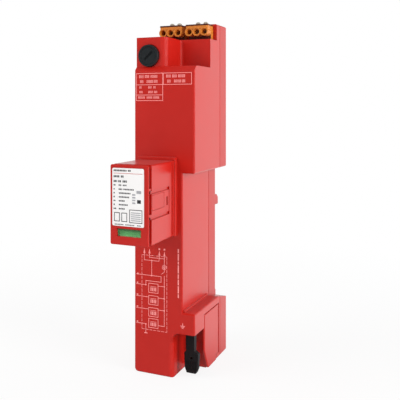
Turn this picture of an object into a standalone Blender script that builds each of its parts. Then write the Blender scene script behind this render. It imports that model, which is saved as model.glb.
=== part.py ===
"""Combined surge arrester for four 40 mm busbars, with a plug-in protection module.

Everything is in metres with +Z up. Sizes are given in the device's own datum:
X from the left side, Y from the main front face towards the busbars, Z from the
bottom. One empty carries that datum and puts the origin at the bottom centre.
"""
import math

import bmesh
import bpy
from mathutils import Matrix, Vector

# Housing
BODY_W = 0.0450  # width of the upper body
NOTCH_W = 0.0088  # how much narrower the lower body is
TOP_ROOM = 0.0604  # from the top busbar's centre to the top
BODY_D = 0.0605  # front face to rear face
STEP_RISE = 0.0763  # from the lowest busbar's centre to where the body widens
SHELL_D = 0.0465  # depth of the front shell, up to the parting line
WALL = 0.0018
GAP = 0.0003  # seat between two pieces that touch
FRONT_EDGE = 0.0011  # rounding of the front edges
SIDE_EDGE = 0.0012  # rounding of the silhouette's corners
FOOT_CORNER = 0.0026  # rounding of its bottom left corner

# Head with the fuse block, the wiring recess and the terminal shelf
SLOPE_DROP = 0.0354  # from the top to where the front face starts to lean back
BLOCK_SET_BACK = 0.0032
BENCH_DROP = 0.0321  # from the top to the floor of the wiring recess
SHELF_DROP = 0.0119
RECESS_X = 0.0221  # right side of the fuse block
RECESS_BACK = 0.0185  # from the recess's back wall to the parting line
RECESS_CORNER = 0.0022
BLOCK_CORNER = 0.0042
HEAD_BACK = 0.0060  # from the wall behind the terminals to the parting line

# Earth housing at the bottom right
EARTH_H = 0.0444
TAB_H = 0.0140
CUT_W = 0.0160  # cut-out below the front tab
CUT_CLEAR = 0.0012  # between the clamp and that cut-out's back wall
CUT_CORNER = 0.0045
COLUMN_EDGE = 0.0030  # rounding of the column's front edge beside the cut-out
EDGE_FADE = 0.1  # share of it that is left where it runs out
EARTH_DROP = 0.0046  # fall of the earth housing's top towards the back
EARTH_DROP_BACK = 0.0035  # where it starts to fall, before the parting line
RIDGE = 0.0014  # rib along the foot of the column
RIDGE_T = 0.0012

# Flap over the earth clamp
FLAP_L = 0.0253  # from the hinge to the front edge
FLAP_BACK = 0.0039  # from the hinge to the parting line
FLAP_DROP = 0.0056  # from the earth housing's top to the flap's
FLAP_T = 0.0016
FLAP_BARREL = 0.0032  # diameter of the hinge barrel
FLAP_PIN = 0.0018
FLAP_CORNER = 0.0070  # curve at the bottom front corner
FLAP_SLIT = 0.0008  # gap along its front and top

# Busbars and the hooks that hang on them
POLES = 4
BAR_PITCH = 0.0400
BAR_RISE = 0.0166  # from the earth housing's top to the lowest bar's centre
BAR_H = 0.0120
BAR_T = 0.0050
HOOK_T = 0.0026  # lip behind a bar
HOOK_H = 0.0075
HOOK_W = 0.0060
HOOK_RISE = 0.0004  # clearance over a bar
BAR_CLEAR = 0.0003  # clearance at a bar's faces
HOOK_LIP = 0.0050  # how far a lip comes down behind a bar
HOOK_X_LEFT = 0.0040
HOOK_SIDE = 0.0062  # from a right hook to the lower body's side
HOOK_SIDE_OUTER = 0.0013  # the same on the outer pole
OUTER_POLE = 1  # the second pole, counted from 0
HOOK_LIP_OUTER = 0.0021  # width of that hook's lip

# Copper contact claws
CLAW_T = 0.0012
CLAW_LEFT = 0.0030  # from the left hook
CLAW_RIGHT = 0.0010  # from the right hook
CLAW_TAIL = 0.0160
CLAW_LIP = 0.0080

# Arrester cartridges behind the busbar claws
CARTRIDGE_D = 0.0170
CARTRIDGE_APART = 0.0080
CARTRIDGE_EDGE = 0.0015
CARTRIDGE_X = 0.0040
CARTRIDGE_CLEAR = 0.0024  # to the inside of the right wall

# Earth bar and lead
EARTH_BAR_W = 0.0080
EARTH_BAR_T = 0.0015
EARTH_BAR_LOW = 0.0220
EARTH_LEAD_H = 0.0080

# Plug-in module
MODULE_W = 0.0270
MODULE_H = 0.0500
MODULE_RISE = 0.0350  # from the lowest busbar's centre to its underside
MODULE_REACH = 0.0398  # front of the module before the main front face
MODULE_EDGE = 0.0016
FACE_T = 0.0018  # front wall
PLATE_T = 0.0010  # edge of the front plate
GROOVE_W = 0.0033  # shadow groove behind the front plate
GROOVE_D = 0.0018
GROOVE_RIB = 0.0012  # rib across the groove over the release button
COLLAR_REACH = 0.0030  # raised frame round the module bay
COLLAR_LAP = 0.0007  # how much the frame stands out past the module
COLLAR_TOP = 0.0022  # the same over its top
SEAM_Y = (0.0056, 0.0074)  # groove down the module's sides, before the main front face
SEAM_D = 0.0005
PLUG_INSET = 0.0030  # the part in the bay is this much smaller all round
PLUG_D = 0.0110
BAY_CLEAR = 0.0004
BAY_WALL = 0.0012
BAY_D = 0.0130
MODULE_WALL = 0.0015
LABEL_LEFT = 0.0014  # label recess, from the module's left side
LABEL_RIGHT = 0.0029
LABEL_LOW = 0.0117
LABEL_TOP = 0.0020  # from the module's top
LABEL_SINK = 0.0002
WINDOW_LEFT = 0.0048  # from the module's left side
WINDOW_RIGHT = 0.0052
WINDOW_Z = (0.0054, 0.0103)  # from the module's underside
LENS_T = 0.0010
FLAG_T = 0.0010
BACKING_T = 0.0008

# Release buttons in the module's sides
SLOT_H = 0.0020
SLOT_LOW_Z = 0.0160  # lower slot, from the module's underside
BUTTON_H = 0.0140
BUTTON_END = 0.0105  # where the slots stop, before the main front face
BUTTON_NOSE = 0.0383
BUTTON_T = 0.0020
BUTTON_SINK = 0.0002
BUTTON_RIB = 0.0015  # rib from the button across the groove
BUTTON_MARK_W = 0.0016
BUTTON_MARK_H = 0.0056
BUTTON_MARK_D = 0.0012
BUTTON_MARK_END = 0.0030  # from the mark's middle to the button's rear end
LATCH_H = 0.0060  # arm from the button into the module bay
LATCH_T = 0.0009
LATCH_X = 0.0015  # outer side of the arm, from the module's side
LATCH_END = 0.0007  # behind the main front face

# Contact blades and sockets between module and base
BLADE_T = 0.0012
BLADE_CLEAR = 0.0032  # from a blade's end to the back of its socket
SOCKET_T = 0.0008
SOCKET_CLEAR = 0.0003
LINE_BLADE_W = 0.0038
LINE_BLADE_SIDE = 0.0050  # from the module's right side
LINE_BLADE_TOP = 0.0120  # from the module's top
EARTH_BLADE_LOW = 0.0100  # from the module's underside

# Fuse in the head
FUSE_X = 0.0097
FUSE_DROP = 0.0246  # from the top to the fuse's axis
CAP_D = 0.0150
CAP_REACH = 0.0022  # in front of the fuse block
CAP_RIM = 0.0012
CAP_FACE = 0.0112
SLOT_W = 0.0016
SLOT_DEPTH = 0.0012
SLOT_SLANT = math.radians(45)
SKIRT_D = 0.0114
SKIRT_L = 0.0080
FUSE_D = 0.0063
FUSE_L = 0.0320
FUSE_CAP_L = 0.0060
FUSE_SEAT = 0.0030  # how deep the fuse starts behind the cap's front
HOLDER_D = 0.0146
HOLDER_FLANGE = 0.0176
HOLDER_SPARE = 0.0020  # how much longer than the fuse the holder is

# Orange terminal blocks on the shelf
TERMINAL_POLES = 3
TERMINAL_LEFT = 0.0046  # from the body's left side
TERMINAL_APART = 0.0034
TERMINAL_RIGHT = 0.0028
TERMINAL_D = 0.0105
TERMINAL_NOSE = 0.0060  # how far the entries stand out over the foot
TERMINAL_H = 0.0111
TERMINAL_DROP = 0.0061  # from the top to the wire entries
RING_D = 0.0062
RING_PROUD = 0.0007
RING_PAST = 0.0004  # how far the outer rings pass a block's sides
ENTRY_D = 0.0034
ENTRY_LIP = 0.0046
PUSHER_D = 0.0034
PUSHER_SET_BACK = 0.0030  # axis, from the block's front
PUSHER_PROUD = 0.0017
PUSHER_DOME = 0.0012  # height of its rounded top
PUSHER_TRAVEL = 0.0012

# Lock slider at the bottom
LOCK_HEAD_SIDE = 0.0052  # from the handle's centre to the body's right side
LOCK_NECK_SIDE = 0.0059
LOCK_Y = 0.0060  # front of the handle
LOCK_T = 0.0038
LOCK_HEAD_W = 0.0104
LOCK_TAPER = 0.0004
LOCK_HEAD_Z = (0.0026, 0.0176)
LOCK_NECK_W = 0.0061
LOCK_EYE_D = 0.0022
LOCK_EYE_Z = 0.0131
LOCK_GRIPS = 5  # grooves on the handle
LOCK_GRIP_PITCH = 0.0015
LOCK_GRIP_DEPTH = 0.0005
LOCK_ARM_H = 0.0042
LOCK_ARM_W = 0.0040
LOCK_ARM_SIDE = 0.0051  # from the arm to the column's right side
LOCK_TRAVEL = 0.0050
LOCK_CLAW_H = 0.0064
LOCK_LIP = 0.0042

# Earth clamp
CLAMP_SET = 0.0096  # from the flap's hinge to the clamp's axis
CLAMP_D = 0.0120
CLAMP_Z = (0.0080, 0.0190)
CLAMP_WINDOW = 0.0088
CLAMP_ROOM = 0.0083  # from the cage's back to the tongue
CLAMP_HEAD_T = 0.0023
CLAMP_SCREW_D = 0.0050
CLAMP_SCREW_L = 0.0072
ENTRY_HOLE = 0.0074

# Screws that hold the two shells together
SCREW_D = 0.0030
SCREW_HEAD_D = 0.0056
SCREW_HEAD_H = 0.0022
BOSS_D = 0.0062
SCREW_INSET = 0.0070  # from the left side
SCREW_LOW = 0.0150
SCREW_NOTCH_SIDE = 0.0072
SCREW_HEAD_SIDE = 0.0100
SCREW_HEAD_DROP = 0.0224

# Facets of round shapes
ARC_STEPS = 5
LARGE_ARC_STEPS = 9
LARGE_RADIUS = 0.0040  # arcs from this size take the finer steps
COARSE_ROUND = 16
ROUND = 24
FINE_ROUND = 40
SMOOTH_ANGLE = math.radians(40)  # sharper edges than this stay sharp
BEVEL_ANGLE = math.radians(30)

# Display size of the empties
DATUM_SIZE = 0.0200
JOINT_SIZE = 0.0100

# Lines worked out from the sizes above
COLUMN_W = BODY_W - NOTCH_W
COLUMN_MID = COLUMN_W / 2
BAR_Z = EARTH_H + BAR_RISE
STEP_Z = BAR_Z + STEP_RISE
BODY_H = BAR_Z + (POLES - 1) * BAR_PITCH + TOP_ROOM
SLOPE_Z = BODY_H - SLOPE_DROP
BENCH_Z = BODY_H - BENCH_DROP
SHELF_Z = BODY_H - SHELF_DROP
RECESS_Y = SHELL_D - RECESS_BACK
HEAD_Y = SHELL_D - HEAD_BACK
TAB_Z = EARTH_H - TAB_H
EARTH_DROP_Y = SHELL_D - EARTH_DROP_BACK
MODULE_X = COLUMN_MID - MODULE_W / 2
MODULE_X2 = MODULE_X + MODULE_W
MODULE_Z = BAR_Z + MODULE_RISE
MODULE_Z2 = MODULE_Z + MODULE_H
HOOK_REACH = BAR_T + 2 * BAR_CLEAR + HOOK_T
TOTAL_D = MODULE_REACH + BODY_D + HOOK_REACH
BASE_Y = SHELL_D + GAP
INNER_BACK = BODY_D - WALL
INNER_RIGHT = COLUMN_W - WALL
HOOK_X_RIGHT = COLUMN_W - HOOK_SIDE - HOOK_W
HOOK_X_OUTER = COLUMN_W - HOOK_SIDE_OUTER - HOOK_W
CLAW_X = HOOK_X_LEFT + HOOK_W + CLAW_LEFT
CLAW_W = HOOK_X_RIGHT - CLAW_RIGHT - CLAW_X
CARTRIDGE_W = INNER_RIGHT - CARTRIDGE_X - CARTRIDGE_CLEAR
CARTRIDGE_H = BAR_PITCH - CARTRIDGE_APART
CARTRIDGE_Y = (SHELL_D - CARTRIDGE_D - 2 * CLAW_T, SHELL_D - 2 * CLAW_T)
EARTH_BAR_Y = CARTRIDGE_Y[0] - GAP - EARTH_BAR_T
LINE_BLADE_X = (MODULE_X2 - LINE_BLADE_SIDE - LINE_BLADE_W, MODULE_X2 - LINE_BLADE_SIDE)
LINE_BLADE_Z = MODULE_Z2 - LINE_BLADE_TOP
EARTH_BLADE_X = (COLUMN_MID - EARTH_BAR_W / 2, COLUMN_MID + EARTH_BAR_W / 2)
EARTH_BLADE_Z = MODULE_Z + EARTH_BLADE_LOW
BLADE_END = EARTH_BAR_Y - GAP - SOCKET_T - BLADE_CLEAR
BUTTON_Z = MODULE_Z + SLOT_LOW_Z + SLOT_H
BUTTON_MID = BUTTON_Z + BUTTON_H / 2
LATCH_Z = (BUTTON_MID - LATCH_H / 2 - GAP, BUTTON_MID + LATCH_H / 2 + GAP)
FLAP_X = BODY_W - FLAP_T
FLAP_AXIS_Y = SHELL_D - FLAP_BACK
FLAP_FRONT = FLAP_AXIS_Y - FLAP_L
FLAP_H = EARTH_H - FLAP_DROP
CLAMP_Y = FLAP_AXIS_Y - CLAMP_SET
CLAMP_SCREW_END = FLAP_X - 2 * GAP
EARTH_TONGUE_X = CLAMP_SCREW_END - CLAMP_SCREW_L - GAP - EARTH_BAR_T
CLAMP_BACK_X = EARTH_TONGUE_X - CLAMP_ROOM
CUT_X = BODY_W - CUT_W
CUT_Y = CLAMP_Y - CLAMP_D / 2 - CUT_CLEAR - WALL
LOCK_X = BODY_W - LOCK_HEAD_SIDE
LOCK_NECK_X = BODY_W - LOCK_NECK_SIDE
FUSE_Z = BODY_H - FUSE_DROP
HOLDER_L = FUSE_L + HOLDER_SPARE
TERMINAL_W = (BODY_W - TERMINAL_LEFT - TERMINAL_APART - TERMINAL_RIGHT) / 2
TERMINAL_X = (TERMINAL_LEFT + TERMINAL_W / 2, BODY_W - TERMINAL_RIGHT - TERMINAL_W / 2)
TERMINAL_PITCH = (TERMINAL_W + 2 * RING_PAST - RING_D) / 2
TERMINAL_Z = BODY_H - TERMINAL_DROP
TERMINAL_FRONT = HEAD_Y - TERMINAL_D
PUSHER_Y = TERMINAL_FRONT + PUSHER_SET_BACK
ROOM_Y = -MODULE_REACH + FACE_T
GROOVE_Y = -MODULE_REACH + PLATE_T
CASE_Y = GROOVE_Y + GROOVE_W
LOCK_CLAW_Z = BAR_Z - BAR_H / 2 - BAR_CLEAR
LOCK_ARM_Z = EARTH_H - WALL - GAP
LOCK_ARM_X = (COLUMN_W - LOCK_ARM_SIDE - LOCK_ARM_W, COLUMN_W - LOCK_ARM_SIDE)
MARGIN = 0.0010  # how far a cutter passes the face that it cuts
SCREW_PLACES = (
    (SCREW_INSET, SCREW_LOW),
    (COLUMN_W - SCREW_NOTCH_SIDE, BAR_Z + BAR_PITCH / 2),
    (SCREW_INSET, BAR_Z + (POLES - 1.5) * BAR_PITCH),
    (BODY_W - SCREW_HEAD_SIDE, BODY_H - SCREW_HEAD_DROP),
)


def clear_scene():
    """Empty the startup scene."""
    for obj in list(bpy.data.objects):
        bpy.data.objects.remove(obj, do_unlink=True)
    for group in list(bpy.data.collections):
        bpy.data.collections.remove(group)


def new_collection(name):
    """New collection in the scene."""
    group = bpy.data.collections.new(name)
    bpy.context.scene.collection.children.link(group)
    return group


clear_scene()
PARTS = new_collection("surge_arrester")
CUTTERS = new_collection("cutters")

DATUM = bpy.data.objects.new("datum", None)
DATUM.empty_display_size = DATUM_SIZE
DATUM.location = (-BODY_W / 2, MODULE_REACH - TOTAL_D / 2, 0)
PARTS.objects.link(DATUM)


def material(name, colour, roughness, metallic=0.0):
    """Principled material with a linear base colour."""
    made = bpy.data.materials.new(name)
    made.use_nodes = True
    shader = made.node_tree.nodes["Principled BSDF"]
    shader.inputs["Base Color"].default_value = (*colour, 1)
    shader.inputs["Roughness"].default_value = roughness
    shader.inputs["Metallic"].default_value = metallic
    made.diffuse_color = (*colour, 1)
    return made


RED = material("red_thermoplastic", (0.52, 0.022, 0.016), 0.42)
DARK_RED = material("red_base_thermoplastic", (0.46, 0.019, 0.014), 0.48)
BLACK = material("black_polyamide", (0.016, 0.015, 0.018), 0.45)
ORANGE = material("orange_polyamide", (0.62, 0.16, 0.035), 0.45)
GREY = material("grey_polyamide", (0.38, 0.35, 0.30), 0.50)
GREEN = material("green_indicator", (0.09, 0.30, 0.10), 0.40)
CLEAR = material("clear_polycarbonate", (0.75, 0.80, 0.76), 0.10)
COPPER = material("tinned_copper", (0.62, 0.58, 0.52), 0.32, 1.0)
STEEL = material("zinc_plated_steel", (0.60, 0.60, 0.58), 0.35, 1.0)
CERAMIC = material("white_ceramic", (0.80, 0.78, 0.72), 0.40)
CHARCOAL = material("moulded_arrester_block", (0.06, 0.06, 0.07), 0.55)


def add_object(name, mesh):
    """New part object carried by the datum."""
    obj = bpy.data.objects.new(name, mesh)
    obj.parent = DATUM
    PARTS.objects.link(obj)
    return obj


def mesh_from(name, shape):
    """Store a bmesh as the mesh of a new part object."""
    mesh = bpy.data.meshes.new(name)
    shape.to_mesh(mesh)
    shape.free()
    return add_object(name, mesh)


def block(name, x, y, z):
    """Box between two planes on each axis."""
    shape = bmesh.new()
    bmesh.ops.create_cube(shape, size=1)
    size = Vector((x[1] - x[0], y[1] - y[0], z[1] - z[0]))
    centre = Vector((sum(x), sum(y), sum(z))) / 2
    matrix = Matrix.Translation(centre) @ Matrix.Diagonal((*size, 1))
    bmesh.ops.transform(shape, matrix=matrix, verts=shape.verts)
    return mesh_from(name, shape)


TURNS = {
    "x": Matrix.Rotation(math.pi / 2, 4, "Y"),
    "y": Matrix.Rotation(-math.pi / 2, 4, "X"),
    "z": Matrix.Identity(4),
}


def cone(name, axis, start, length, radii, sides=ROUND):
    """Cylinder or cone from a start point along an axis."""
    shape = bmesh.new()
    bmesh.ops.create_cone(
        shape, cap_ends=True, segments=sides, radius1=radii[0], radius2=radii[1], depth=length
    )
    matrix = Matrix.Translation(start) @ TURNS[axis] @ Matrix.Translation((0, 0, length / 2))
    bmesh.ops.transform(shape, matrix=matrix, verts=shape.verts)
    obj = mesh_from(name, shape)
    obj.data.shade_smooth()
    obj.data.set_sharp_from_angle(angle=SMOOTH_ANGLE)
    return obj


def rod(name, axis, start, length, diameter, sides=ROUND):
    """Straight cylinder from a start point along an axis."""
    return cone(name, axis, start, length, (diameter / 2, diameter / 2), sides)


def turned(name, axis, start, profile, sides=ROUND):
    """Turned piece: (distance along the axis, radius) points, spun by a Screw modifier."""
    shape = bmesh.new()
    points = [shape.verts.new((radius, 0, along)) for along, radius in reversed(profile)]
    for first, second in zip(points, points[1:]):
        shape.edges.new((first, second))
    obj = mesh_from(name, shape)
    obj.matrix_local = Matrix.Translation(start) @ TURNS[axis]
    screw = obj.modifiers.new("spin", "SCREW")
    screw.steps = sides
    screw.render_steps = sides
    screw.use_merge_vertices = True
    screw.merge_threshold = 0.00001
    screw.use_smooth_shade = True
    return obj


def rounded(corners):
    """Outline points of (u, v, radius) corners, each radius as an arc."""
    path = []
    for i, (u, v, radius) in enumerate(corners):
        here = Vector((u, v))
        if radius <= 0:
            path.append(here)
            continue
        back = (Vector(corners[i - 1][:2]) - here).normalized()
        ahead = (Vector(corners[(i + 1) % len(corners)][:2]) - here).normalized()
        half = back.angle(ahead) / 2
        centre = here + (back + ahead).normalized() * radius / math.sin(half)
        first = here + back * radius / math.tan(half) - centre
        last = here + ahead * radius / math.tan(half) - centre
        sweep = first.angle_signed(last)
        steps = LARGE_ARC_STEPS if radius >= LARGE_RADIUS else ARC_STEPS
        for step in range(steps + 1):
            turn = Matrix.Rotation(-sweep * step / steps, 2)
            path.append(centre + turn @ first)
    return path


PLANES = {
    "x": Matrix(((0, 0, 1, 0), (1, 0, 0, 0), (0, 1, 0, 0), (0, 0, 0, 1))),
    "y": Matrix(((1, 0, 0, 0), (0, 0, -1, 0), (0, 1, 0, 0), (0, 0, 0, 1))),
    "z": Matrix.Identity(4),
}


def plate(name, axis, span, corners):
    """Flat outline, extruded between two planes. Corners are (u, v, radius).

    The outline lies in YZ for axis x, in XZ for axis y and in XY for axis z.
    """
    curve = bpy.data.curves.new(name, "CURVE")
    curve.dimensions = "2D"
    curve.fill_mode = "BOTH"
    curve.extrude = (span[1] - span[0]) / 2
    path = rounded(corners)
    spline = curve.splines.new("POLY")
    spline.points.add(len(path) - 1)
    for point, (u, v) in zip(spline.points, path):
        point.co = (u, v, 0, 1)
    spline.use_cyclic_u = True
    guide = bpy.data.objects.new(name, curve)
    PARTS.objects.link(guide)
    graph = bpy.context.evaluated_depsgraph_get()
    mesh = bpy.data.meshes.new_from_object(guide.evaluated_get(graph))
    bpy.data.objects.remove(guide)
    shape = bmesh.new()
    shape.from_mesh(mesh)
    bmesh.ops.remove_doubles(shape, verts=shape.verts, dist=0.000001)
    shift = Vector((0, 0, 0))
    shift["xyz".index(axis)] = sum(span) / 2
    matrix = Matrix.Translation(shift) @ PLANES[axis]
    bmesh.ops.transform(shape, matrix=matrix, verts=shape.verts)
    bmesh.ops.recalc_face_normals(shape, faces=shape.faces)
    bpy.data.meshes.remove(mesh)
    return mesh_from(name, shape)


def frame_corners(u, v, radius=0.0):
    """Rectangle's four corners with one radius."""
    return [(u[0], v[0], radius), (u[1], v[0], radius), (u[1], v[1], radius), (u[0], v[1], radius)]


def strip(name, span, path, thickness):
    """Bent strip: a YZ path thickened to its left, extruded along X."""
    points = [Vector(point) for point in path]
    inner = []
    for i, point in enumerate(points):
        before = (point - points[i - 1]).normalized() if i else None
        after = (points[i + 1] - point).normalized() if i + 1 < len(points) else None
        ways = [way for way in (before, after) if way]
        sides = [Vector((-way.y, way.x)) for way in ways]
        middle = sum(sides, Vector((0, 0))).normalized()
        inner.append(point + middle * thickness / middle.dot(sides[0]))
    corners = [(u, v, 0) for u, v in points + inner[::-1]]
    return plate(name, "x", span, corners)


def soften(obj, width, chosen, segments=2):
    """Round the edges for which both ends pass a test on their place."""
    shape = bmesh.new()
    shape.from_mesh(obj.data)
    edges = [edge for edge in shape.edges if all(chosen(vert.co) for vert in edge.verts)]
    sharp = [edge for edge in edges if edge.calc_face_angle(0) > BEVEL_ANGLE]
    bmesh.ops.bevel(
        shape, geom=sharp, offset=width, segments=segments, profile=0.5, affect="EDGES"
    )
    shape.to_mesh(obj.data)
    shape.free()
    return obj


def combine(target, other, operation):
    """Boolean with a helper object, which moves to the cutters."""
    PARTS.objects.unlink(other)
    CUTTERS.objects.link(other)
    other.hide_render = True
    other.display_type = "WIRE"
    change = target.modifiers.new(other.name, "BOOLEAN")
    change.operation = operation
    change.solver = "EXACT"
    change.object = other
    return target


def cut(target, *others):
    """Remove helpers from a piece."""
    for other in others:
        combine(target, other, "DIFFERENCE")
    return target


def join(target, *others):
    """Add helpers to a piece."""
    for other in others:
        combine(target, other, "UNION")
    return target


def dress(obj, look):
    """Give a piece its one material."""
    obj.data.materials.clear()
    obj.data.materials.append(look)
    return obj


def joint_empty(name, point, parent=None):
    """Empty on a joint's axis. Its point is in the datum's frame."""
    empty = bpy.data.objects.new(name, None)
    empty.empty_display_size = JOINT_SIZE
    empty.parent = parent or DATUM
    origin = parent["datum_point"] if parent else (0, 0, 0)
    empty.location = Vector(point) - Vector(origin)
    empty["datum_point"] = tuple(point)
    PARTS.objects.link(empty)
    return empty


def carry(empty, *pieces):
    """Hang pieces, with their helpers, on a joint's empty without moving them."""
    for piece in pieces:
        helpers = [change.object for change in piece.modifiers if change.type == "BOOLEAN"]
        piece.parent = empty
        piece.location = piece.location - Vector(empty["datum_point"])
        carry(empty, *helpers)


def silhouette(inset, low=0.0, corner=0.0):
    """Front outline of the body, drawn in by a wall's thickness."""
    left, right, narrow = inset, BODY_W - inset, COLUMN_W - inset
    return [
        (left, low + inset, FOOT_CORNER if corner else 0),
        (right, low + inset, corner),
        (right, EARTH_H - inset, corner),
        (narrow, EARTH_H - inset, 0),
        (narrow, STEP_Z + inset, 0),
        (right, STEP_Z + inset, corner),
        (right, BODY_H - inset, corner),
        (left, BODY_H - inset, corner),
    ]


def recess_void(name, inset):
    """Space over the bench: the wiring recess, drawn out by a wall's thickness."""
    return plate(
        name,
        "z",
        (BENCH_Z - inset, BODY_H),
        [
            (RECESS_X - inset, -MARGIN, 0),
            (BODY_W + MARGIN, -MARGIN, 0),
            (BODY_W + MARGIN, RECESS_Y + inset, 0),
            (RECESS_X - inset, RECESS_Y + inset, RECESS_CORNER + inset),
        ],
    )


def slope_void(name, inset):
    """Space in front of the fuse block and over the sloping top of the main face."""
    back = BLOCK_SET_BACK + inset
    return plate(
        name,
        "x",
        (-MARGIN, BODY_W + MARGIN),
        [
            (-MARGIN, SLOPE_Z - inset, 0),
            (0, SLOPE_Z - inset, 0),
            (back, BENCH_Z - inset, 0),
            (back, BODY_H + MARGIN, 0),
            (-MARGIN, BODY_H + MARGIN, 0),
        ],
    )


def shelf_void(name, inset):
    """Space over the shelf, in front of the wall behind the terminals."""
    return block(
        name,
        (-MARGIN, BODY_W + MARGIN),
        (-MARGIN, HEAD_Y + inset),
        (SHELF_Z - inset, BODY_H + MARGIN),
    )


def cut_out_void(name, inset):
    """Cut-out below the earth tab."""
    return plate(
        name,
        "y",
        (-MARGIN, CUT_Y + inset),
        [
            (CUT_X - inset, -MARGIN, 0),
            (BODY_W + MARGIN, -MARGIN, 0),
            (BODY_W + MARGIN, TAB_Z + inset, 0),
            (CUT_X - inset, TAB_Z + inset, CUT_CORNER + inset),
        ],
    )


def earth_slope_void(name, inset):
    """Space over the falling top of the earth housing, right of the column."""
    end = BODY_D + MARGIN
    fall = EARTH_DROP * (end - EARTH_DROP_Y) / (BODY_D - EARTH_DROP_Y)
    return plate(
        name,
        "x",
        (COLUMN_W - inset, BODY_W + MARGIN),
        [
            (EARTH_DROP_Y, EARTH_H - inset, 0),
            (end, EARTH_H - fall - inset, 0),
            (end, EARTH_H + MARGIN, 0),
            (EARTH_DROP_Y, EARTH_H + MARGIN, 0),
        ],
    )


def body_voids(prefix, inset):
    """The spaces that shape the body from outside, or its inner wall."""
    return [
        recess_void(f"{prefix}_recess", inset),
        slope_void(f"{prefix}_slope", inset),
        shelf_void(f"{prefix}_shelf", inset),
        cut_out_void(f"{prefix}_cut_out", inset),
    ]


def bar_centre(pole):
    """Height of a pole's busbar."""
    return BAR_Z + pole * BAR_PITCH


def screw_post(name, place, span, diameter):
    """Round post for a housing screw."""
    return rod(name, "y", (place[0], span[0], place[1]), span[1] - span[0], diameter)


def flap_shape(prefix, grow):
    """Outline of the flap, or of its opening, with the curved bottom front corner."""
    low, high = (-MARGIN, FLAP_H + grow) if grow else (GAP, FLAP_H)
    front = FLAP_FRONT - grow
    return plate(
        prefix,
        "x",
        (FLAP_X - (GAP if grow else 0.0), BODY_W + (MARGIN if grow else 0.0)),
        [
            (front + FLAP_CORNER, low, 0),
            (FLAP_AXIS_Y + (FLAP_T + GAP if grow else 0.0), low, 0),
            (FLAP_AXIS_Y + (FLAP_T + GAP if grow else 0.0), high, 0),
            (front, high, SIDE_EDGE),
            (front, low + 2 * FLAP_CORNER, FLAP_CORNER),
        ],
    )


def flap_outer_edge(point):
    """Whether a point lies on the flap's outer rim, at its front or top."""
    return point.x > BODY_W - GAP and (point.y < FLAP_AXIS_Y - GAP or point.z > FLAP_H - GAP)


def front_hollow(bay_x, bay_z):
    """What the front shell's core leaves: the inner space less bosses, bay and hinge seats."""
    hollow = plate("front_hollow", "y", (WALL, SHELL_D + MARGIN), silhouette(WALL))
    cut(hollow, *body_voids("inner", WALL))
    cut(hollow, earth_slope_void("inner_earth_slope", WALL))
    for number, place in enumerate(SCREW_PLACES, 1):
        cut(hollow, screw_post(f"front_boss_{number}", place, (0, SHELL_D - GAP), BOSS_D))
    cut(hollow, block("bay_sleeve", bay_x, (0, BAY_D), bay_z))
    hinge_x = (FLAP_X - FLAP_BARREL, BODY_W)
    hinge_y = (FLAP_AXIS_Y - FLAP_BARREL, SHELL_D - GAP)
    rail_z = (FLAP_H + GAP, FLAP_H + GAP + WALL)
    return cut(
        hollow,
        block("hinge_rail", hinge_x, hinge_y, rail_z),
        block("hinge_foot", hinge_x, hinge_y, (0, 2 * WALL)),
    )


def block_edge_cutter():
    """What rounds the fuse block's front edge beside the recess."""
    low = BENCH_Z - SHELF_Z + BENCH_Z
    square = block(
        "block_edge",
        (RECESS_X - BLOCK_CORNER, RECESS_X + MARGIN),
        (-MARGIN, BLOCK_SET_BACK + BLOCK_CORNER),
        (BENCH_Z, SHELF_Z + MARGIN),
    )
    round_part = rod(
        "block_edge_round",
        "z",
        (RECESS_X - BLOCK_CORNER, BLOCK_SET_BACK + BLOCK_CORNER, low),
        SHELF_Z + 2 * MARGIN - low,
        2 * BLOCK_CORNER,
        FINE_ROUND,
    )
    return cut(square, round_part)


def column_edge_cutters():
    """What rounds the column's front edge beside the cut-out, and its upper end."""
    end = TAB_Z - CUT_CORNER
    turns = [math.pi / 2 * step / ARC_STEPS for step in range(ARC_STEPS + 1)]
    outline = [
        (CUT_X - COLUMN_EDGE * (1 - math.cos(turn)), COLUMN_EDGE * (1 - math.sin(turn)), 0)
        for turn in turns
    ]
    outline += [
        (CUT_X - COLUMN_EDGE, -MARGIN, 0),
        (CUT_X + MARGIN, -MARGIN, 0),
        (CUT_X + MARGIN, COLUMN_EDGE, 0),
    ]
    edge = plate("column_edge", "z", (-MARGIN, end - COLUMN_EDGE), outline)
    fade = plate("column_edge_end", "z", (end - COLUMN_EDGE, end), outline)
    for vert in fade.data.vertices:
        if vert.co.z > end - GAP:
            vert.co.x = CUT_X + (vert.co.x - CUT_X) * EDGE_FADE
            vert.co.y *= EDGE_FADE
    return edge, fade


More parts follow.
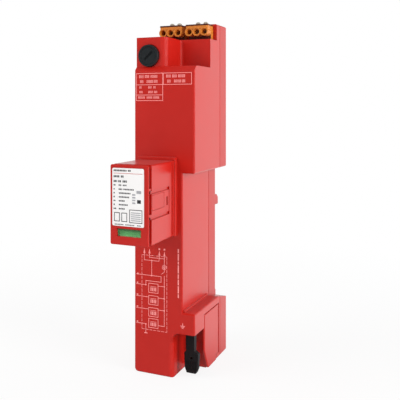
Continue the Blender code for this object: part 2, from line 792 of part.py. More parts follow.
def build_front_housing():
    """Front shell: the extruded silhouette with its wall, recesses, bay and bosses."""
    shell = plate("front_housing", "y", (0, SHELL_D), silhouette(0, corner=SIDE_EDGE))
    soften(shell, FRONT_EDGE, lambda point: abs(point.y) < GAP, 3)
    soften(shell, GAP, lambda point: point.y > SHELL_D - GAP, 1)
    ridge_x = (COLUMN_W - WALL / 2, COLUMN_W + RIDGE_T)
    ridge_z = (EARTH_H - WALL / 2, EARTH_H + RIDGE)
    ridge_y = (FRONT_EDGE + GAP, EARTH_DROP_Y - GAP)
    ridge = plate("foot_ridge", "y", ridge_y, frame_corners(ridge_x, ridge_z))
    soften(ridge, GAP, lambda point: point.z > EARTH_H)
    join(shell, ridge)
    bay_x = (MODULE_X - COLLAR_LAP, MODULE_X2 + COLLAR_LAP)
    bay_z = (MODULE_Z - COLLAR_LAP, MODULE_Z2 + COLLAR_TOP)
    collar = plate("bay_collar", "y", (-COLLAR_REACH, WALL / 2), frame_corners(bay_x, bay_z, SIDE_EDGE))
    soften(collar, COLLAR_LAP, lambda point: point.y < -COLLAR_REACH + GAP)
    join(shell, collar)
    cut(shell, *body_voids("outer", 0.0))
    cut(shell, earth_slope_void("outer_earth_slope", 0.0), block_edge_cutter())
    cut(shell, *column_edge_cutters())
    cut(shell, front_hollow(bay_x, bay_z))

    inner_x = (MODULE_X + PLUG_INSET - BAY_CLEAR, MODULE_X2 - PLUG_INSET + BAY_CLEAR)
    inner_z = (MODULE_Z + PLUG_INSET - BAY_CLEAR, MODULE_Z2 - PLUG_INSET + BAY_CLEAR)
    cut(shell, block("bay_void", inner_x, (-COLLAR_REACH - MARGIN, BAY_D - BAY_WALL), inner_z))
    pocket_x = (
        MODULE_X + LATCH_X - 2 * GAP,
        MODULE_X2 - LATCH_X + 2 * GAP,
    )
    cut(shell, block("latch_pockets", pocket_x, (-COLLAR_REACH - MARGIN, LATCH_END + GAP), LATCH_Z))
    for label, x, z in (
        ("line", LINE_BLADE_X, LINE_BLADE_Z),
        ("earth", EARTH_BLADE_X, EARTH_BLADE_Z),
    ):
        slot = block(
            f"{label}_blade_slot",
            (x[0] - BAY_CLEAR, x[1] + BAY_CLEAR),
            (BAY_D - 2 * BAY_WALL, BAY_D + MARGIN),
            (z - BLADE_T / 2 - BAY_CLEAR, z + BLADE_T / 2 + BAY_CLEAR),
        )
        cut(shell, slot)
    for number, place in enumerate(SCREW_PLACES, 1):
        bore = (SHELL_D - GAP - BOSS_D, SHELL_D + MARGIN)
        cut(shell, screw_post(f"pilot_{number}", place, bore, SCREW_D + 2 * GAP))
    fuse_bore = rod(
        "fuse_bore",
        "y",
        (FUSE_X, -MARGIN, FUSE_Z),
        BLOCK_SET_BACK + WALL + 2 * MARGIN,
        CAP_D + 2 * GAP,
        FINE_ROUND,
    )
    neck_x = (LOCK_NECK_X - LOCK_NECK_W / 2 - GAP, LOCK_NECK_X + LOCK_NECK_W / 2 + GAP)
    neck_y = (LOCK_Y - GAP, LOCK_Y + LOCK_T + GAP)
    neck_slot = block("neck_slot", neck_x, neck_y, (TAB_Z - MARGIN, TAB_Z + WALL + MARGIN))
    opening = flap_shape("flap_opening", FLAP_SLIT)
    foot = block(
        "flap_foot",
        (FLAP_X - FLAP_BARREL, BODY_W + 2 * MARGIN),
        (FLAP_AXIS_Y - FLAP_BARREL, BODY_D),
        (-2 * MARGIN, 2 * WALL),
    )
    cut(opening, foot)
    barrel_room = rod(
        "barrel_room",
        "z",
        (FLAP_X, FLAP_AXIS_Y, 2 * WALL),
        FLAP_H + GAP - 2 * WALL,
        FLAP_BARREL + 2 * GAP,
    )
    pin_hole = rod(
        "flap_pin_hole",
        "z",
        (FLAP_X, FLAP_AXIS_Y, WALL),
        FLAP_H + WALL,
        FLAP_PIN + GAP,
        COARSE_ROUND,
    )
    entry = rod(
        "earth_entry",
        "z",
        ((CLAMP_BACK_X + EARTH_TONGUE_X) / 2 + WALL / 2, CLAMP_Y, -MARGIN),
        WALL + 2 * MARGIN,
        ENTRY_HOLE,
    )
    cut(shell, fuse_bore, neck_slot, opening, barrel_room, pin_hole, entry)
    return dress(shell, RED)


def build_rear_base():
    """Rear shell with the hooks over the busbars and the slots for claws and lock."""
    base = plate("rear_base", "y", (BASE_Y, BODY_D), silhouette(0, corner=SIDE_EDGE))
    soften(base, FRONT_EDGE, lambda point: point.y > BODY_D - GAP, 2)
    soften(base, GAP, lambda point: point.y < BASE_Y + GAP, 1)
    cut(base, earth_slope_void("base_earth_slope", 0.0))
    hollow = plate("base_hollow", "y", (BASE_Y - MARGIN, INNER_BACK), silhouette(WALL))
    cut(hollow, earth_slope_void("base_inner_slope", WALL))
    cut(base, hollow)
    for pole in range(POLES):
        top = bar_centre(pole) + BAR_H / 2 + HOOK_RISE
        right = HOOK_X_OUTER if pole == OUTER_POLE else HOOK_X_RIGHT
        for side, left in (("left", HOOK_X_LEFT), ("right", right)):
            hook = plate(
                f"hook_{pole + 1}_{side}",
                "x",
                (left, left + HOOK_W),
                [
                    (BODY_D - WALL / 2, top, 0),
                    (BODY_D + BAR_T + 2 * BAR_CLEAR, top, 0),
                    (BODY_D + BAR_T + 2 * BAR_CLEAR, top - HOOK_LIP, 0),
                    (BODY_D + HOOK_REACH - GAP, top - HOOK_LIP, 0),
                    (BODY_D + HOOK_REACH, top - HOOK_LIP + HOOK_T, 0),
                    (BODY_D + HOOK_REACH, top + HOOK_H - HOOK_T, 0),
                    (BODY_D + HOOK_REACH - HOOK_T, top + HOOK_H, 0),
                    (BODY_D - WALL / 2, top + HOOK_H, 0),
                ],
            )
            if pole == OUTER_POLE and side == "right":
                narrow = block(
                    "outer_hook_lip",
                    (left + HOOK_LIP_OUTER, left + HOOK_W + MARGIN),
                    (BODY_D + BAR_T, BODY_D + HOOK_REACH + MARGIN),
                    (top - HOOK_LIP - MARGIN, top),
                )
                cut(hook, narrow)
            join(base, hook)
        slot = block(
            f"claw_slot_{pole + 1}",
            (CLAW_X - GAP, CLAW_X + CLAW_W + GAP),
            (INNER_BACK - MARGIN, BODY_D + MARGIN),
            (top + HOOK_RISE - GAP, top + HOOK_RISE + CLAW_T + GAP),
        )
        cut(base, slot)
    lock_slot = block(
        "lock_slot",
        (LOCK_ARM_X[0] - GAP, LOCK_ARM_X[1] + GAP),
        (INNER_BACK - MARGIN, BODY_D + MARGIN),
        (LOCK_CLAW_Z - LOCK_CLAW_H - LOCK_TRAVEL - GAP, LOCK_CLAW_Z + GAP / 2),
    )
    cut(base, lock_slot)
    for number, place in enumerate(SCREW_PLACES, 1):
        post = (SHELL_D, INNER_BACK + WALL / 2)
        join(base, screw_post(f"base_boss_{number}", place, post, BOSS_D + WALL))
        well = (BODY_D - SCREW_HEAD_H - 2 * GAP, BODY_D + MARGIN)
        cut(base, screw_post(f"screw_well_{number}", place, well, SCREW_HEAD_D + 2 * GAP))
        hole = (SHELL_D - MARGIN, BODY_D)
        cut(base, screw_post(f"screw_hole_{number}", place, hole, SCREW_D + 2 * GAP))
    return dress(base, DARK_RED)


def build_housing_screws():
    """Pan-head screws from the back, one in each boss."""
    for number, place in enumerate(SCREW_PLACES, 1):
        under_head = BODY_D - SCREW_HEAD_H - GAP
        screw = rod(
            f"housing_screw_{number}",
            "y",
            (place[0], under_head - GAP / 2, place[1]),
            SCREW_HEAD_H - GAP,
            SCREW_HEAD_D,
        )
        shank_start = SHELL_D - BOSS_D + GAP
        shank = rod(
            f"screw_shank_{number}",
            "y",
            (place[0], shank_start, place[1]),
            under_head - shank_start + GAP,
            SCREW_D,
            COARSE_ROUND,
        )
        join(screw, shank)
        drive = block(
            f"screw_slot_{number}",
            (place[0] - SCREW_HEAD_D / 2 + GAP, place[0] + SCREW_HEAD_D / 2 - GAP),
            (BODY_D - 3 * GAP - SCREW_HEAD_H / 3, BODY_D),
            (place[1] - GAP, place[1] + GAP),
        )
        cut(screw, drive)
        dress(screw, STEEL)


def build_claws_and_cartridges():
    """A copper claw over each busbar and the arrester cartridge that it feeds."""
    tail_y = CARTRIDGE_Y[1] + GAP
    for pole in range(POLES):
        centre = bar_centre(pole)
        arm = centre + BAR_H / 2 + 2 * HOOK_RISE
        lip_y = BODY_D + BAR_T + 2 * BAR_CLEAR
        claw = strip(
            f"busbar_claw_{pole + 1}",
            (CLAW_X, CLAW_X + CLAW_W),
            [
                (tail_y + CLAW_T, arm - CLAW_TAIL),
                (tail_y + CLAW_T, arm),
                (lip_y, arm),
                (lip_y, arm - CLAW_LIP),
            ],
            CLAW_T,
        )
        dress(claw, COPPER)
        cartridge = block(
            f"arrester_cartridge_{pole + 1}",
            (CARTRIDGE_X, CARTRIDGE_X + CARTRIDGE_W),
            CARTRIDGE_Y,
            (centre - CARTRIDGE_H / 2, centre + CARTRIDGE_H / 2),
        )
        soften(cartridge, CARTRIDGE_EDGE, lambda point: True)
        dress(cartridge, CHARCOAL)


def build_earth_bar():
    """Copper bar past all the cartridges, and the lead from it to the earth clamp."""
    top = bar_centre(POLES - 1) + CARTRIDGE_H / 2
    bar = block(
        "earth_bar",
        EARTH_BLADE_X,
        (EARTH_BAR_Y, EARTH_BAR_Y + EARTH_BAR_T),
        (EARTH_BAR_LOW, top),
    )
    dress(bar, COPPER)
    lead_y = EARTH_BAR_Y + EARTH_BAR_T + GAP
    lead = block(
        "earth_lead",
        (EARTH_BLADE_X[0], EARTH_TONGUE_X + EARTH_BAR_T),
        (lead_y, lead_y + EARTH_BAR_T),
        (EARTH_BAR_LOW, EARTH_BAR_LOW + EARTH_LEAD_H),
    )
    tongue = block(
        "earth_tongue",
        (EARTH_TONGUE_X, EARTH_TONGUE_X + EARTH_BAR_T),
        (lead_y, CLAMP_Y + CLAMP_WINDOW / 2 - GAP),
        (EARTH_BAR_LOW, EARTH_BAR_LOW + EARTH_LEAD_H),
    )
    window_tongue = block(
        "clamp_tongue",
        (EARTH_TONGUE_X, EARTH_TONGUE_X + EARTH_BAR_T),
        (CLAMP_Y - CLAMP_WINDOW / 2 + GAP, CLAMP_Y + CLAMP_WINDOW / 2 - GAP),
        (CLAMP_Z[0] - WALL, EARTH_BAR_LOW + EARTH_LEAD_H / 2),
    )
    dress(join(lead, tongue, window_tongue), COPPER)


def build_earth_clamp():
    """Rising clamp cage round the earth tongue, drawn up by its screw."""
    tongue_x = EARTH_TONGUE_X + EARTH_BAR_T
    cage_x = (CLAMP_BACK_X, tongue_x + GAP + CLAMP_HEAD_T + MARGIN)
    cage_y = (CLAMP_Y - CLAMP_D / 2, CLAMP_Y + CLAMP_D / 2)
    cage = plate("clamp_cage", "z", CLAMP_Z, frame_corners(cage_x, cage_y, SIDE_EDGE))
    window = block(
        "clamp_window",
        (cage_x[0] + WALL, cage_x[1] - CLAMP_HEAD_T),
        (CLAMP_Y - CLAMP_WINDOW / 2, CLAMP_Y + CLAMP_WINDOW / 2),
        (CLAMP_Z[0] - MARGIN, CLAMP_Z[1] + MARGIN),
    )
    centre_z = sum(CLAMP_Z) / 2
    thread = rod(
        "clamp_thread",
        "x",
        (cage_x[1] - CLAMP_HEAD_T - MARGIN, CLAMP_Y, centre_z),
        CLAMP_HEAD_T + 2 * MARGIN,
        CLAMP_SCREW_D + 2 * GAP,
    )
    dress(cut(cage, window, thread), STEEL)
    start = tongue_x + GAP
    screw = rod(
        "clamp_screw",
        "x",
        (start, CLAMP_Y, centre_z),
        CLAMP_SCREW_END - start,
        CLAMP_SCREW_D,
    )
    slot = block(
        "clamp_screw_slot",
        (CLAMP_SCREW_END - SLOT_DEPTH, CLAMP_SCREW_END + MARGIN),
        (CLAMP_Y - CLAMP_SCREW_D, CLAMP_Y + CLAMP_SCREW_D),
        (centre_z - SLOT_W / 4, centre_z + SLOT_W / 4),
    )
    dress(cut(screw, slot), STEEL)
    carry(joint_empty("clamp_rise", (cage_x[0], CLAMP_Y, centre_z)), cage)
    carry(joint_empty("clamp_screw_turn", (start, CLAMP_Y, centre_z)), screw)


def build_flap():
    """Cover over the earth clamp, with its moulded barrel and hinge pins."""
    flap = flap_shape("earth_flap", 0.0)
    soften(flap, FLAP_T / 2, flap_outer_edge)
    barrel = rod(
        "flap_barrel",
        "z",
        (FLAP_X, FLAP_AXIS_Y, 2 * WALL + GAP),
        FLAP_H - 2 * WALL - GAP,
        FLAP_BARREL,
    )
    trim = block(
        "flap_trim",
        (FLAP_X - FLAP_BARREL, BODY_W + MARGIN),
        (FLAP_AXIS_Y - FLAP_BARREL - 2 * GAP, FLAP_AXIS_Y + FLAP_BARREL),
        (-MARGIN, 2 * WALL + GAP),
    )
    pins = rod(
        "flap_pins",
        "z",
        (FLAP_X, FLAP_AXIS_Y, WALL + GAP),
        FLAP_H - GAP,
        FLAP_PIN,
        COARSE_ROUND,
    )
    join(flap, barrel)
    cut(flap, trim)
    join(flap, pins)
    dress(flap, RED)
    carry(joint_empty("flap_hinge", (FLAP_X, FLAP_AXIS_Y, FLAP_H / 2)), flap)


def build_lock_slider():
    """Slider that locks the lowest busbar: handle, neck, inner arm and rear claw."""
    half_head, half_neck = LOCK_HEAD_W / 2, LOCK_NECK_W / 2
    low, shoulder = LOCK_HEAD_Z
    arm_top = LOCK_ARM_Z
    slider = plate(
        "lock_slider",
        "y",
        (LOCK_Y, LOCK_Y + LOCK_T),
        [
            (LOCK_X - half_head + WALL, low, WALL / 2),
            (LOCK_X + half_head - WALL, low, WALL / 2),
            (LOCK_X + half_head - LOCK_TAPER, low + 2 * WALL, WALL),
            (LOCK_X + half_head, shoulder - WALL, WALL / 2),
            (LOCK_NECK_X + half_neck, shoulder, WALL / 2),
            (LOCK_NECK_X + half_neck, arm_top, 0),
            (LOCK_NECK_X - half_neck, arm_top, 0),
            (LOCK_NECK_X - half_neck, shoulder, WALL / 2),
            (LOCK_X - half_head, shoulder - WALL, WALL / 2),
            (LOCK_X - half_head + LOCK_TAPER, low + 2 * WALL, WALL),
        ],
    )
    soften(slider, WALL / 4, lambda point: point.z < arm_top - MARGIN)
    bridge = block(
        "lock_bridge",
        (LOCK_ARM_X[0], LOCK_X),
        (LOCK_Y + GAP, LOCK_Y + LOCK_T - GAP),
        (arm_top - LOCK_ARM_H, arm_top - GAP / 2),
    )
    rear = INNER_BACK - GAP
    claw_top = LOCK_CLAW_Z
    lip_y = BODY_D + BAR_T + 2 * BAR_CLEAR
    arm = plate(
        "lock_arm",
        "x",
        LOCK_ARM_X,
        [
            (LOCK_Y + GAP, arm_top - LOCK_ARM_H, 0),
            (rear, arm_top - LOCK_ARM_H, 0),
            (rear, claw_top - LOCK_CLAW_H, 0),
            (BODY_D + HOOK_REACH - GAP, claw_top - LOCK_CLAW_H, WALL),
            (BODY_D + HOOK_REACH - GAP, claw_top + LOCK_LIP, 0),
            (lip_y, claw_top + LOCK_LIP, 0),
            (lip_y, claw_top, 0),
            (rear - LOCK_ARM_W, claw_top, 0),
            (rear - LOCK_ARM_W, arm_top, 0),
            (LOCK_Y + GAP, arm_top, 0),
        ],
    )
    eye = rod(
        "lock_eye",
        "y",
        (LOCK_X, LOCK_Y - MARGIN, LOCK_EYE_Z),
        LOCK_T + 2 * MARGIN,
        LOCK_EYE_D,
        COARSE_ROUND,
    )
    join(slider, bridge, arm)
    cut(slider, eye)
    for number in range(LOCK_GRIPS):
        x = LOCK_X + (number - (LOCK_GRIPS - 1) / 2) * LOCK_GRIP_PITCH
        groove = block(
            f"lock_grip_{number + 1}",
            (x - GAP, x + GAP),
            (LOCK_Y - MARGIN, LOCK_Y + LOCK_GRIP_DEPTH),
            (low + WALL, LOCK_EYE_Z - 2 * MARGIN),
        )
        cut(slider, groove)
    dress(slider, BLACK)
    carry(joint_empty("lock_slide", (LOCK_X, LOCK_Y, LOCK_EYE_Z)), slider)


def build_terminals():
    """Two orange terminal blocks with scalloped fronts, contacts and pushers."""
    top = SHELF_Z + TERMINAL_H
    back = HEAD_Y - GAP
    nose_y = TERMINAL_FRONT + TERMINAL_NOSE
    for side, centre in zip(("left", "right"), TERMINAL_X):
        x = (centre - TERMINAL_W / 2, centre + TERMINAL_W / 2)
        case = plate(
            f"terminal_block_{side}",
            "x",
            x,
            [
                (TERMINAL_FRONT, TERMINAL_Z - GAP, 0),
                (nose_y, TERMINAL_Z - GAP, 0),
                (nose_y, SHELF_Z + GAP, 0),
                (back, SHELF_Z + GAP, 0),
                (back, top, 0),
                (TERMINAL_FRONT, top, 0),
            ],
        )
        soften(case, SIDE_EDGE / 2, lambda point: point.y < TERMINAL_FRONT + GAP)
        pole_x = [centre + (i - 1) * TERMINAL_PITCH for i in range(TERMINAL_POLES)]
        for number, x_pole in enumerate(pole_x, 1):
            ring = rod(
                f"{side}_ring_{number}",
                "y",
                (x_pole, TERMINAL_FRONT - RING_PROUD, TERMINAL_Z),
                TERMINAL_NOSE + RING_PROUD + GAP,
                RING_D,
            )
            join(case, ring)
        for number, x_pole in enumerate(pole_x, 1):
            funnel = cone(
                f"{side}_funnel_{number}",
                "y",
                (x_pole, TERMINAL_FRONT - RING_PROUD - GAP / 3, TERMINAL_Z),
                2 * RING_PROUD,
                (ENTRY_LIP / 2, ENTRY_D / 2),
            )
            hole = rod(
                f"{side}_entry_{number}",
                "y",
                (x_pole, TERMINAL_FRONT, TERMINAL_Z),
                back - TERMINAL_FRONT - WALL,
                ENTRY_D,
            )
            cut(case, funnel, hole)
        rail_room = block(
            f"{side}_rail_room",
            (x[0] + WALL, x[1] - WALL),
            (back - 2 * WALL, back + MARGIN),
            (TERMINAL_Z - ENTRY_D / 2, TERMINAL_Z + ENTRY_D / 2),
        )
        cut(case, rail_room)
        for number, x_pole in enumerate(pole_x[1:], 1):
            well = rod(
                f"{side}_pusher_well_{number}",
                "z",
                (x_pole, PUSHER_Y, TERMINAL_Z + ENTRY_D / 2 + GAP),
                top + MARGIN - TERMINAL_Z - ENTRY_D / 2,
                PUSHER_D + 2 * GAP,
            )
            cut(case, well)
        dress(case, ORANGE)
        rail = block(
            f"terminal_contact_{side}",
            (x[0] + WALL + GAP, x[1] - WALL - GAP),
            (back - 2 * WALL + GAP, back - GAP),
            (TERMINAL_Z - ENTRY_D / 2 + GAP, TERMINAL_Z + ENTRY_D / 2 - GAP),
        )
        dress(rail, COPPER)
        first = 1 if side == "left" else TERMINAL_POLES
        for number, x_pole in enumerate(pole_x[1:], first):
            build_pusher(number, x_pole, top)


def build_pusher(number, x, top):
    """One round-topped pusher that opens the terminal below it."""
    low = TERMINAL_Z + ENTRY_D / 2 + 2 * GAP + PUSHER_TRAVEL
    radius = PUSHER_D / 2
    length = top + PUSHER_PROUD - low
    turns = [math.pi / 2 * step / ARC_STEPS for step in range(ARC_STEPS)]
    dome = [(length - PUSHER_DOME * (1 - math.sin(turn)), radius * math.cos(turn)) for turn in turns]
    profile = [(0, 0), (0, radius), *dome, (length, 0)]
    pusher = turned(f"terminal_pusher_{number}", "z", (x, PUSHER_Y, low), profile, COARSE_ROUND)
    dress(pusher, GREY)


def build_fuse():
    """Fuse holder, cartridge fuse, screwdriver cap and rear clip."""
    face = BLOCK_SET_BACK
    start = face + WALL + GAP
    holder = turned(
        "fuse_holder",
        "y",
        (FUSE_X, start, FUSE_Z),
        [
            (0, SKIRT_D / 2 + 2 * GAP),
            (0, HOLDER_FLANGE / 2),
            (WALL, HOLDER_FLANGE / 2),
            (WALL, HOLDER_D / 2),
            (HOLDER_L, HOLDER_D / 2),
            (HOLDER_L, SKIRT_D / 2 + 2 * GAP),
            (0, SKIRT_D / 2 + 2 * GAP),
        ],
    )
    flat = block(
        "holder_flat",
        (FUSE_X - HOLDER_FLANGE, WALL + GAP),
        (start - MARGIN, start + WALL + MARGIN),
        (FUSE_Z - HOLDER_FLANGE, FUSE_Z + HOLDER_FLANGE),
    )
    dress(cut(holder, flat), BLACK)
    cap_front = face - CAP_REACH
    head_back = start - cap_front - 2 * GAP
    fuse_start = FUSE_SEAT
    cap = turned(
        "fuse_cap",
        "y",
        (FUSE_X, cap_front, FUSE_Z),
        [
            (CAP_RIM / 2, 0),
            (CAP_RIM / 2, CAP_FACE / 2),
            (0, CAP_FACE / 2 + GAP),
            (0, CAP_D / 2 - CAP_RIM / 2),
            (CAP_RIM / 2, CAP_D / 2),
            (head_back, CAP_D / 2),
            (head_back, SKIRT_D / 2),
            (head_back + SKIRT_L, SKIRT_D / 2),
            (head_back + SKIRT_L, FUSE_D / 2 + GAP),
            (fuse_start, FUSE_D / 2 + GAP),
            (fuse_start, 0),
        ],
        FINE_ROUND,
    )
    driver = block(
        "fuse_cap_slot",
        (-SLOT_W / 2, SLOT_W / 2),
        (-MARGIN, CAP_RIM / 2 + SLOT_DEPTH),
        (-CAP_FACE / 2, CAP_FACE / 2),
    )
    slant = Matrix.Rotation(SLOT_SLANT, 4, "Y")
    driver.matrix_local = Matrix.Translation((FUSE_X, cap_front, FUSE_Z)) @ slant
    dress(cut(cap, driver), BLACK)
    link_y = cap_front + fuse_start + GAP
    link = turned(
        "fuse_link",
        "y",
        (FUSE_X, link_y, FUSE_Z),
        [
            (0, 0),
            (0, FUSE_D / 2),
            (FUSE_CAP_L, FUSE_D / 2),
            (FUSE_CAP_L, FUSE_D / 2 - GAP),
            (FUSE_L - FUSE_CAP_L, FUSE_D / 2 - GAP),
            (FUSE_L - FUSE_CAP_L, FUSE_D / 2),
            (FUSE_L, FUSE_D / 2),
            (FUSE_L, 0),
        ],
    )
    dress(link, CERAMIC)
    clip_y = link_y + FUSE_L + GAP
    clip = turned(
        "fuse_contact",
        "y",
        (FUSE_X, clip_y, FUSE_Z),
        [
            (0, 0),
            (0, SKIRT_D / 2),
            (WALL, SKIRT_D / 2),
            (WALL, FUSE_D / 4),
            (SHELL_D - clip_y, FUSE_D / 4),
            (SHELL_D - clip_y, 0),
        ],
    )
    dress(clip, COPPER)
    pull = joint_empty("fuse_pull", (FUSE_X, link_y, FUSE_Z))
    turn = joint_empty("fuse_cap_turn", (FUSE_X, cap_front, FUSE_Z), pull)
    carry(pull, link)
    carry(turn, cap)


def build_module():
    """Plug-in protection module with its front, window, flag, buttons and blades."""
    left, right, low, high = MODULE_X, MODULE_X2, MODULE_Z, MODULE_Z2
    rear = -COLLAR_REACH - GAP
    side_slots_z = (low + SLOT_LOW_Z, BUTTON_Z + BUTTON_H + SLOT_H)

    outline = frame_corners((left, right), (low, high), SIDE_EDGE)
    case = plate("module_case", "y", (CASE_Y, rear), outline)
    plug_x = (left + PLUG_INSET, right - PLUG_INSET)
    plug_z = (low + PLUG_INSET, high - PLUG_INSET)
    plug = block("module_plug", plug_x, (rear - MARGIN, PLUG_D), plug_z)
    join(case, plug)
    inner_x = (left + MODULE_WALL, right - MODULE_WALL)
    inner_z = (low + MODULE_WALL, high - MODULE_WALL)
    room = block("module_room", inner_x, (CASE_Y - MARGIN, rear - MODULE_WALL), inner_z)
    plug_room = block(
        "plug_room",
        (plug_x[0] + MODULE_WALL, plug_x[1] - MODULE_WALL),
        (rear - 2 * MODULE_WALL, PLUG_D - MODULE_WALL),
        (plug_z[0] + MODULE_WALL, plug_z[1] - MODULE_WALL),
    )
    sides = block(
        "button_openings",
        (left - MARGIN, right + MARGIN),
        (CASE_Y - MARGIN, -BUTTON_END),
        side_slots_z,
    )
    latch_way = block(
        "latch_way",
        (left + LATCH_X - GAP, right - LATCH_X + GAP),
        (-BUTTON_END - MARGIN, LATCH_END + GAP),
        LATCH_Z,
    )
    cut(case, room, plug_room, sides, latch_way)
    for side, x in (("left", (left - MARGIN, left + SEAM_D)), ("right", (right - SEAM_D, right + MARGIN))):
        cut(case, block(f"{side}_seam", x, (-SEAM_Y[1], -SEAM_Y[0]), (low - MARGIN, high + MARGIN)))
    for label, x, z in (
        ("line", LINE_BLADE_X, LINE_BLADE_Z),
        ("earth", EARTH_BLADE_X, EARTH_BLADE_Z),
    ):
        slot = block(
            f"{label}_blade_exit",
            (x[0] - GAP, x[1] + GAP),
            (PLUG_D - 2 * MODULE_WALL, PLUG_D + MARGIN),
            (z - BLADE_T / 2 - GAP, z + BLADE_T / 2 + GAP),
        )
        cut(case, slot)
    dress(case, RED)

    front = plate("module_front", "y", (-MODULE_REACH, GROOVE_Y), outline)
    soften(front, MODULE_EDGE / 2, lambda point: point.y < -MODULE_REACH + GAP, 3)
    boss = block(
        "front_boss",
        (left + GROOVE_D, right - GROOVE_D),
        (GROOVE_Y - PLATE_T / 2, CASE_Y - GAP),
        (low + GROOVE_D, high - GROOVE_D),
    )
    join(front, boss)
    spigot = block(
        "front_spigot",
        (inner_x[0] + GAP, inner_x[1] - GAP),
        (CASE_Y - 2 * GAP, CASE_Y + WALL),
        (inner_z[0] + GAP, inner_z[1] - GAP),
    )
    spigot_room = block(
        "spigot_room",
        (inner_x[0] + WALL, inner_x[1] - WALL),
        (ROOM_Y, CASE_Y + WALL + MARGIN),
        (inner_z[0] + WALL, inner_z[1] - WALL),
    )
    join(front, spigot)
    bridge_z = (side_slots_z[1] + GAP, side_slots_z[1] + GAP + GROOVE_RIB)
    for side, x in (("left", (left + GAP, left + WALL)), ("right", (right - WALL, right - GAP))):
        join(front, block(f"{side}_groove_rib", x, (GROOVE_Y - GAP, CASE_Y - GAP), bridge_z))
    cut(front, spigot_room)
    notches = {"left": (left - MARGIN, left + 2 * WALL), "right": (right - 2 * WALL, right + MARGIN)}
    for side, x in notches.items():
        button_way = block(
            f"{side}_button_notch",
            x,
            (CASE_Y - GAP, CASE_Y + WALL + MARGIN),
            (side_slots_z[0] + SLOT_H / 2, side_slots_z[1] - SLOT_H / 2),
        )
        rib_way = block(
            f"{side}_rib_notch",
            x,
            (-BUTTON_NOSE - GAP, CASE_Y),
            (BUTTON_Z - GAP, BUTTON_Z + BUTTON_RIB + GAP),
        )
        cut(front, button_way, rib_way)
    label = block(
        "label_recess",
        (left + LABEL_LEFT, right - LABEL_RIGHT),
        (-MODULE_REACH - MARGIN, -MODULE_REACH + LABEL_SINK),
        (low + LABEL_LOW, high - LABEL_TOP),
    )
    window_x = (left + WINDOW_LEFT, right - WINDOW_RIGHT)
    window_z = (low + WINDOW_Z[0], low + WINDOW_Z[1])
    window = block("window_opening", window_x, (-MODULE_REACH - MARGIN, CASE_Y), window_z)
    cut(front, label, window)
    dress(front, RED)

    lens_y = -MODULE_REACH + 3 * GAP
    lens = block(
        "status_window",
        (window_x[0] + GAP, window_x[1] - GAP),
        (lens_y, lens_y + LENS_T),
        (window_z[0] + GAP, window_z[1] - GAP),
    )
    dress(lens, CLEAR)
    flag_y = ROOM_Y + GAP
    flag_x = (window_x[0] - GAP, window_x[1] + GAP)
    flag_z = (window_z[0] - GAP, window_z[1] + GAP)
    flag = block("status_flag", flag_x, (flag_y, flag_y + FLAG_T), flag_z)
    dress(flag, GREEN)
    backing = block(
        "status_backing",
        (inner_x[0] + WALL + GAP, inner_x[1] - WALL - GAP),
        (flag_y + FLAG_T + GAP, flag_y + FLAG_T + GAP + BACKING_T),
        (flag_z[0] - WALL / 2, flag_z[1] + WALL / 2),
    )
    dress(backing, RED)

    element = block(
        "module_arrester",
        (plug_x[0] + MODULE_WALL + GAP, plug_x[1] - MODULE_WALL - GAP),
        (CASE_Y + 2 * WALL, PLUG_D - MODULE_WALL - 2 * WALL),
        (plug_z[0] + MODULE_WALL + GAP, plug_z[1] - MODULE_WALL - GAP),
    )
    soften(element, SIDE_EDGE, lambda point: True)
    dress(element, CERAMIC)
    blades = []
    for label, x, z in (
        ("line", LINE_BLADE_X, LINE_BLADE_Z),
        ("earth", EARTH_BLADE_X, EARTH_BLADE_Z),
    ):
        blade = block(
            f"module_blade_{label}",
            x,
            (PLUG_D - MODULE_WALL - 2 * WALL + GAP, BLADE_END),
            (z - BLADE_T / 2, z + BLADE_T / 2),
        )
        soften(blade, BLADE_T / 3, lambda point: point.y > BLADE_END - GAP, 1)
        blades.append(dress(blade, COPPER))
    slide = joint_empty("module_pull", ((left + right) / 2, 0, (low + high) / 2))
    carry(slide, case, front, lens, backing, element, *blades)
    carry(joint_empty("status_flag_slide", (left, flag_y, low), slide), flag)
    for side, outer, inward in (("left", left, 1), ("right", right, -1)):
        build_release_button(side, outer, inward, slide)


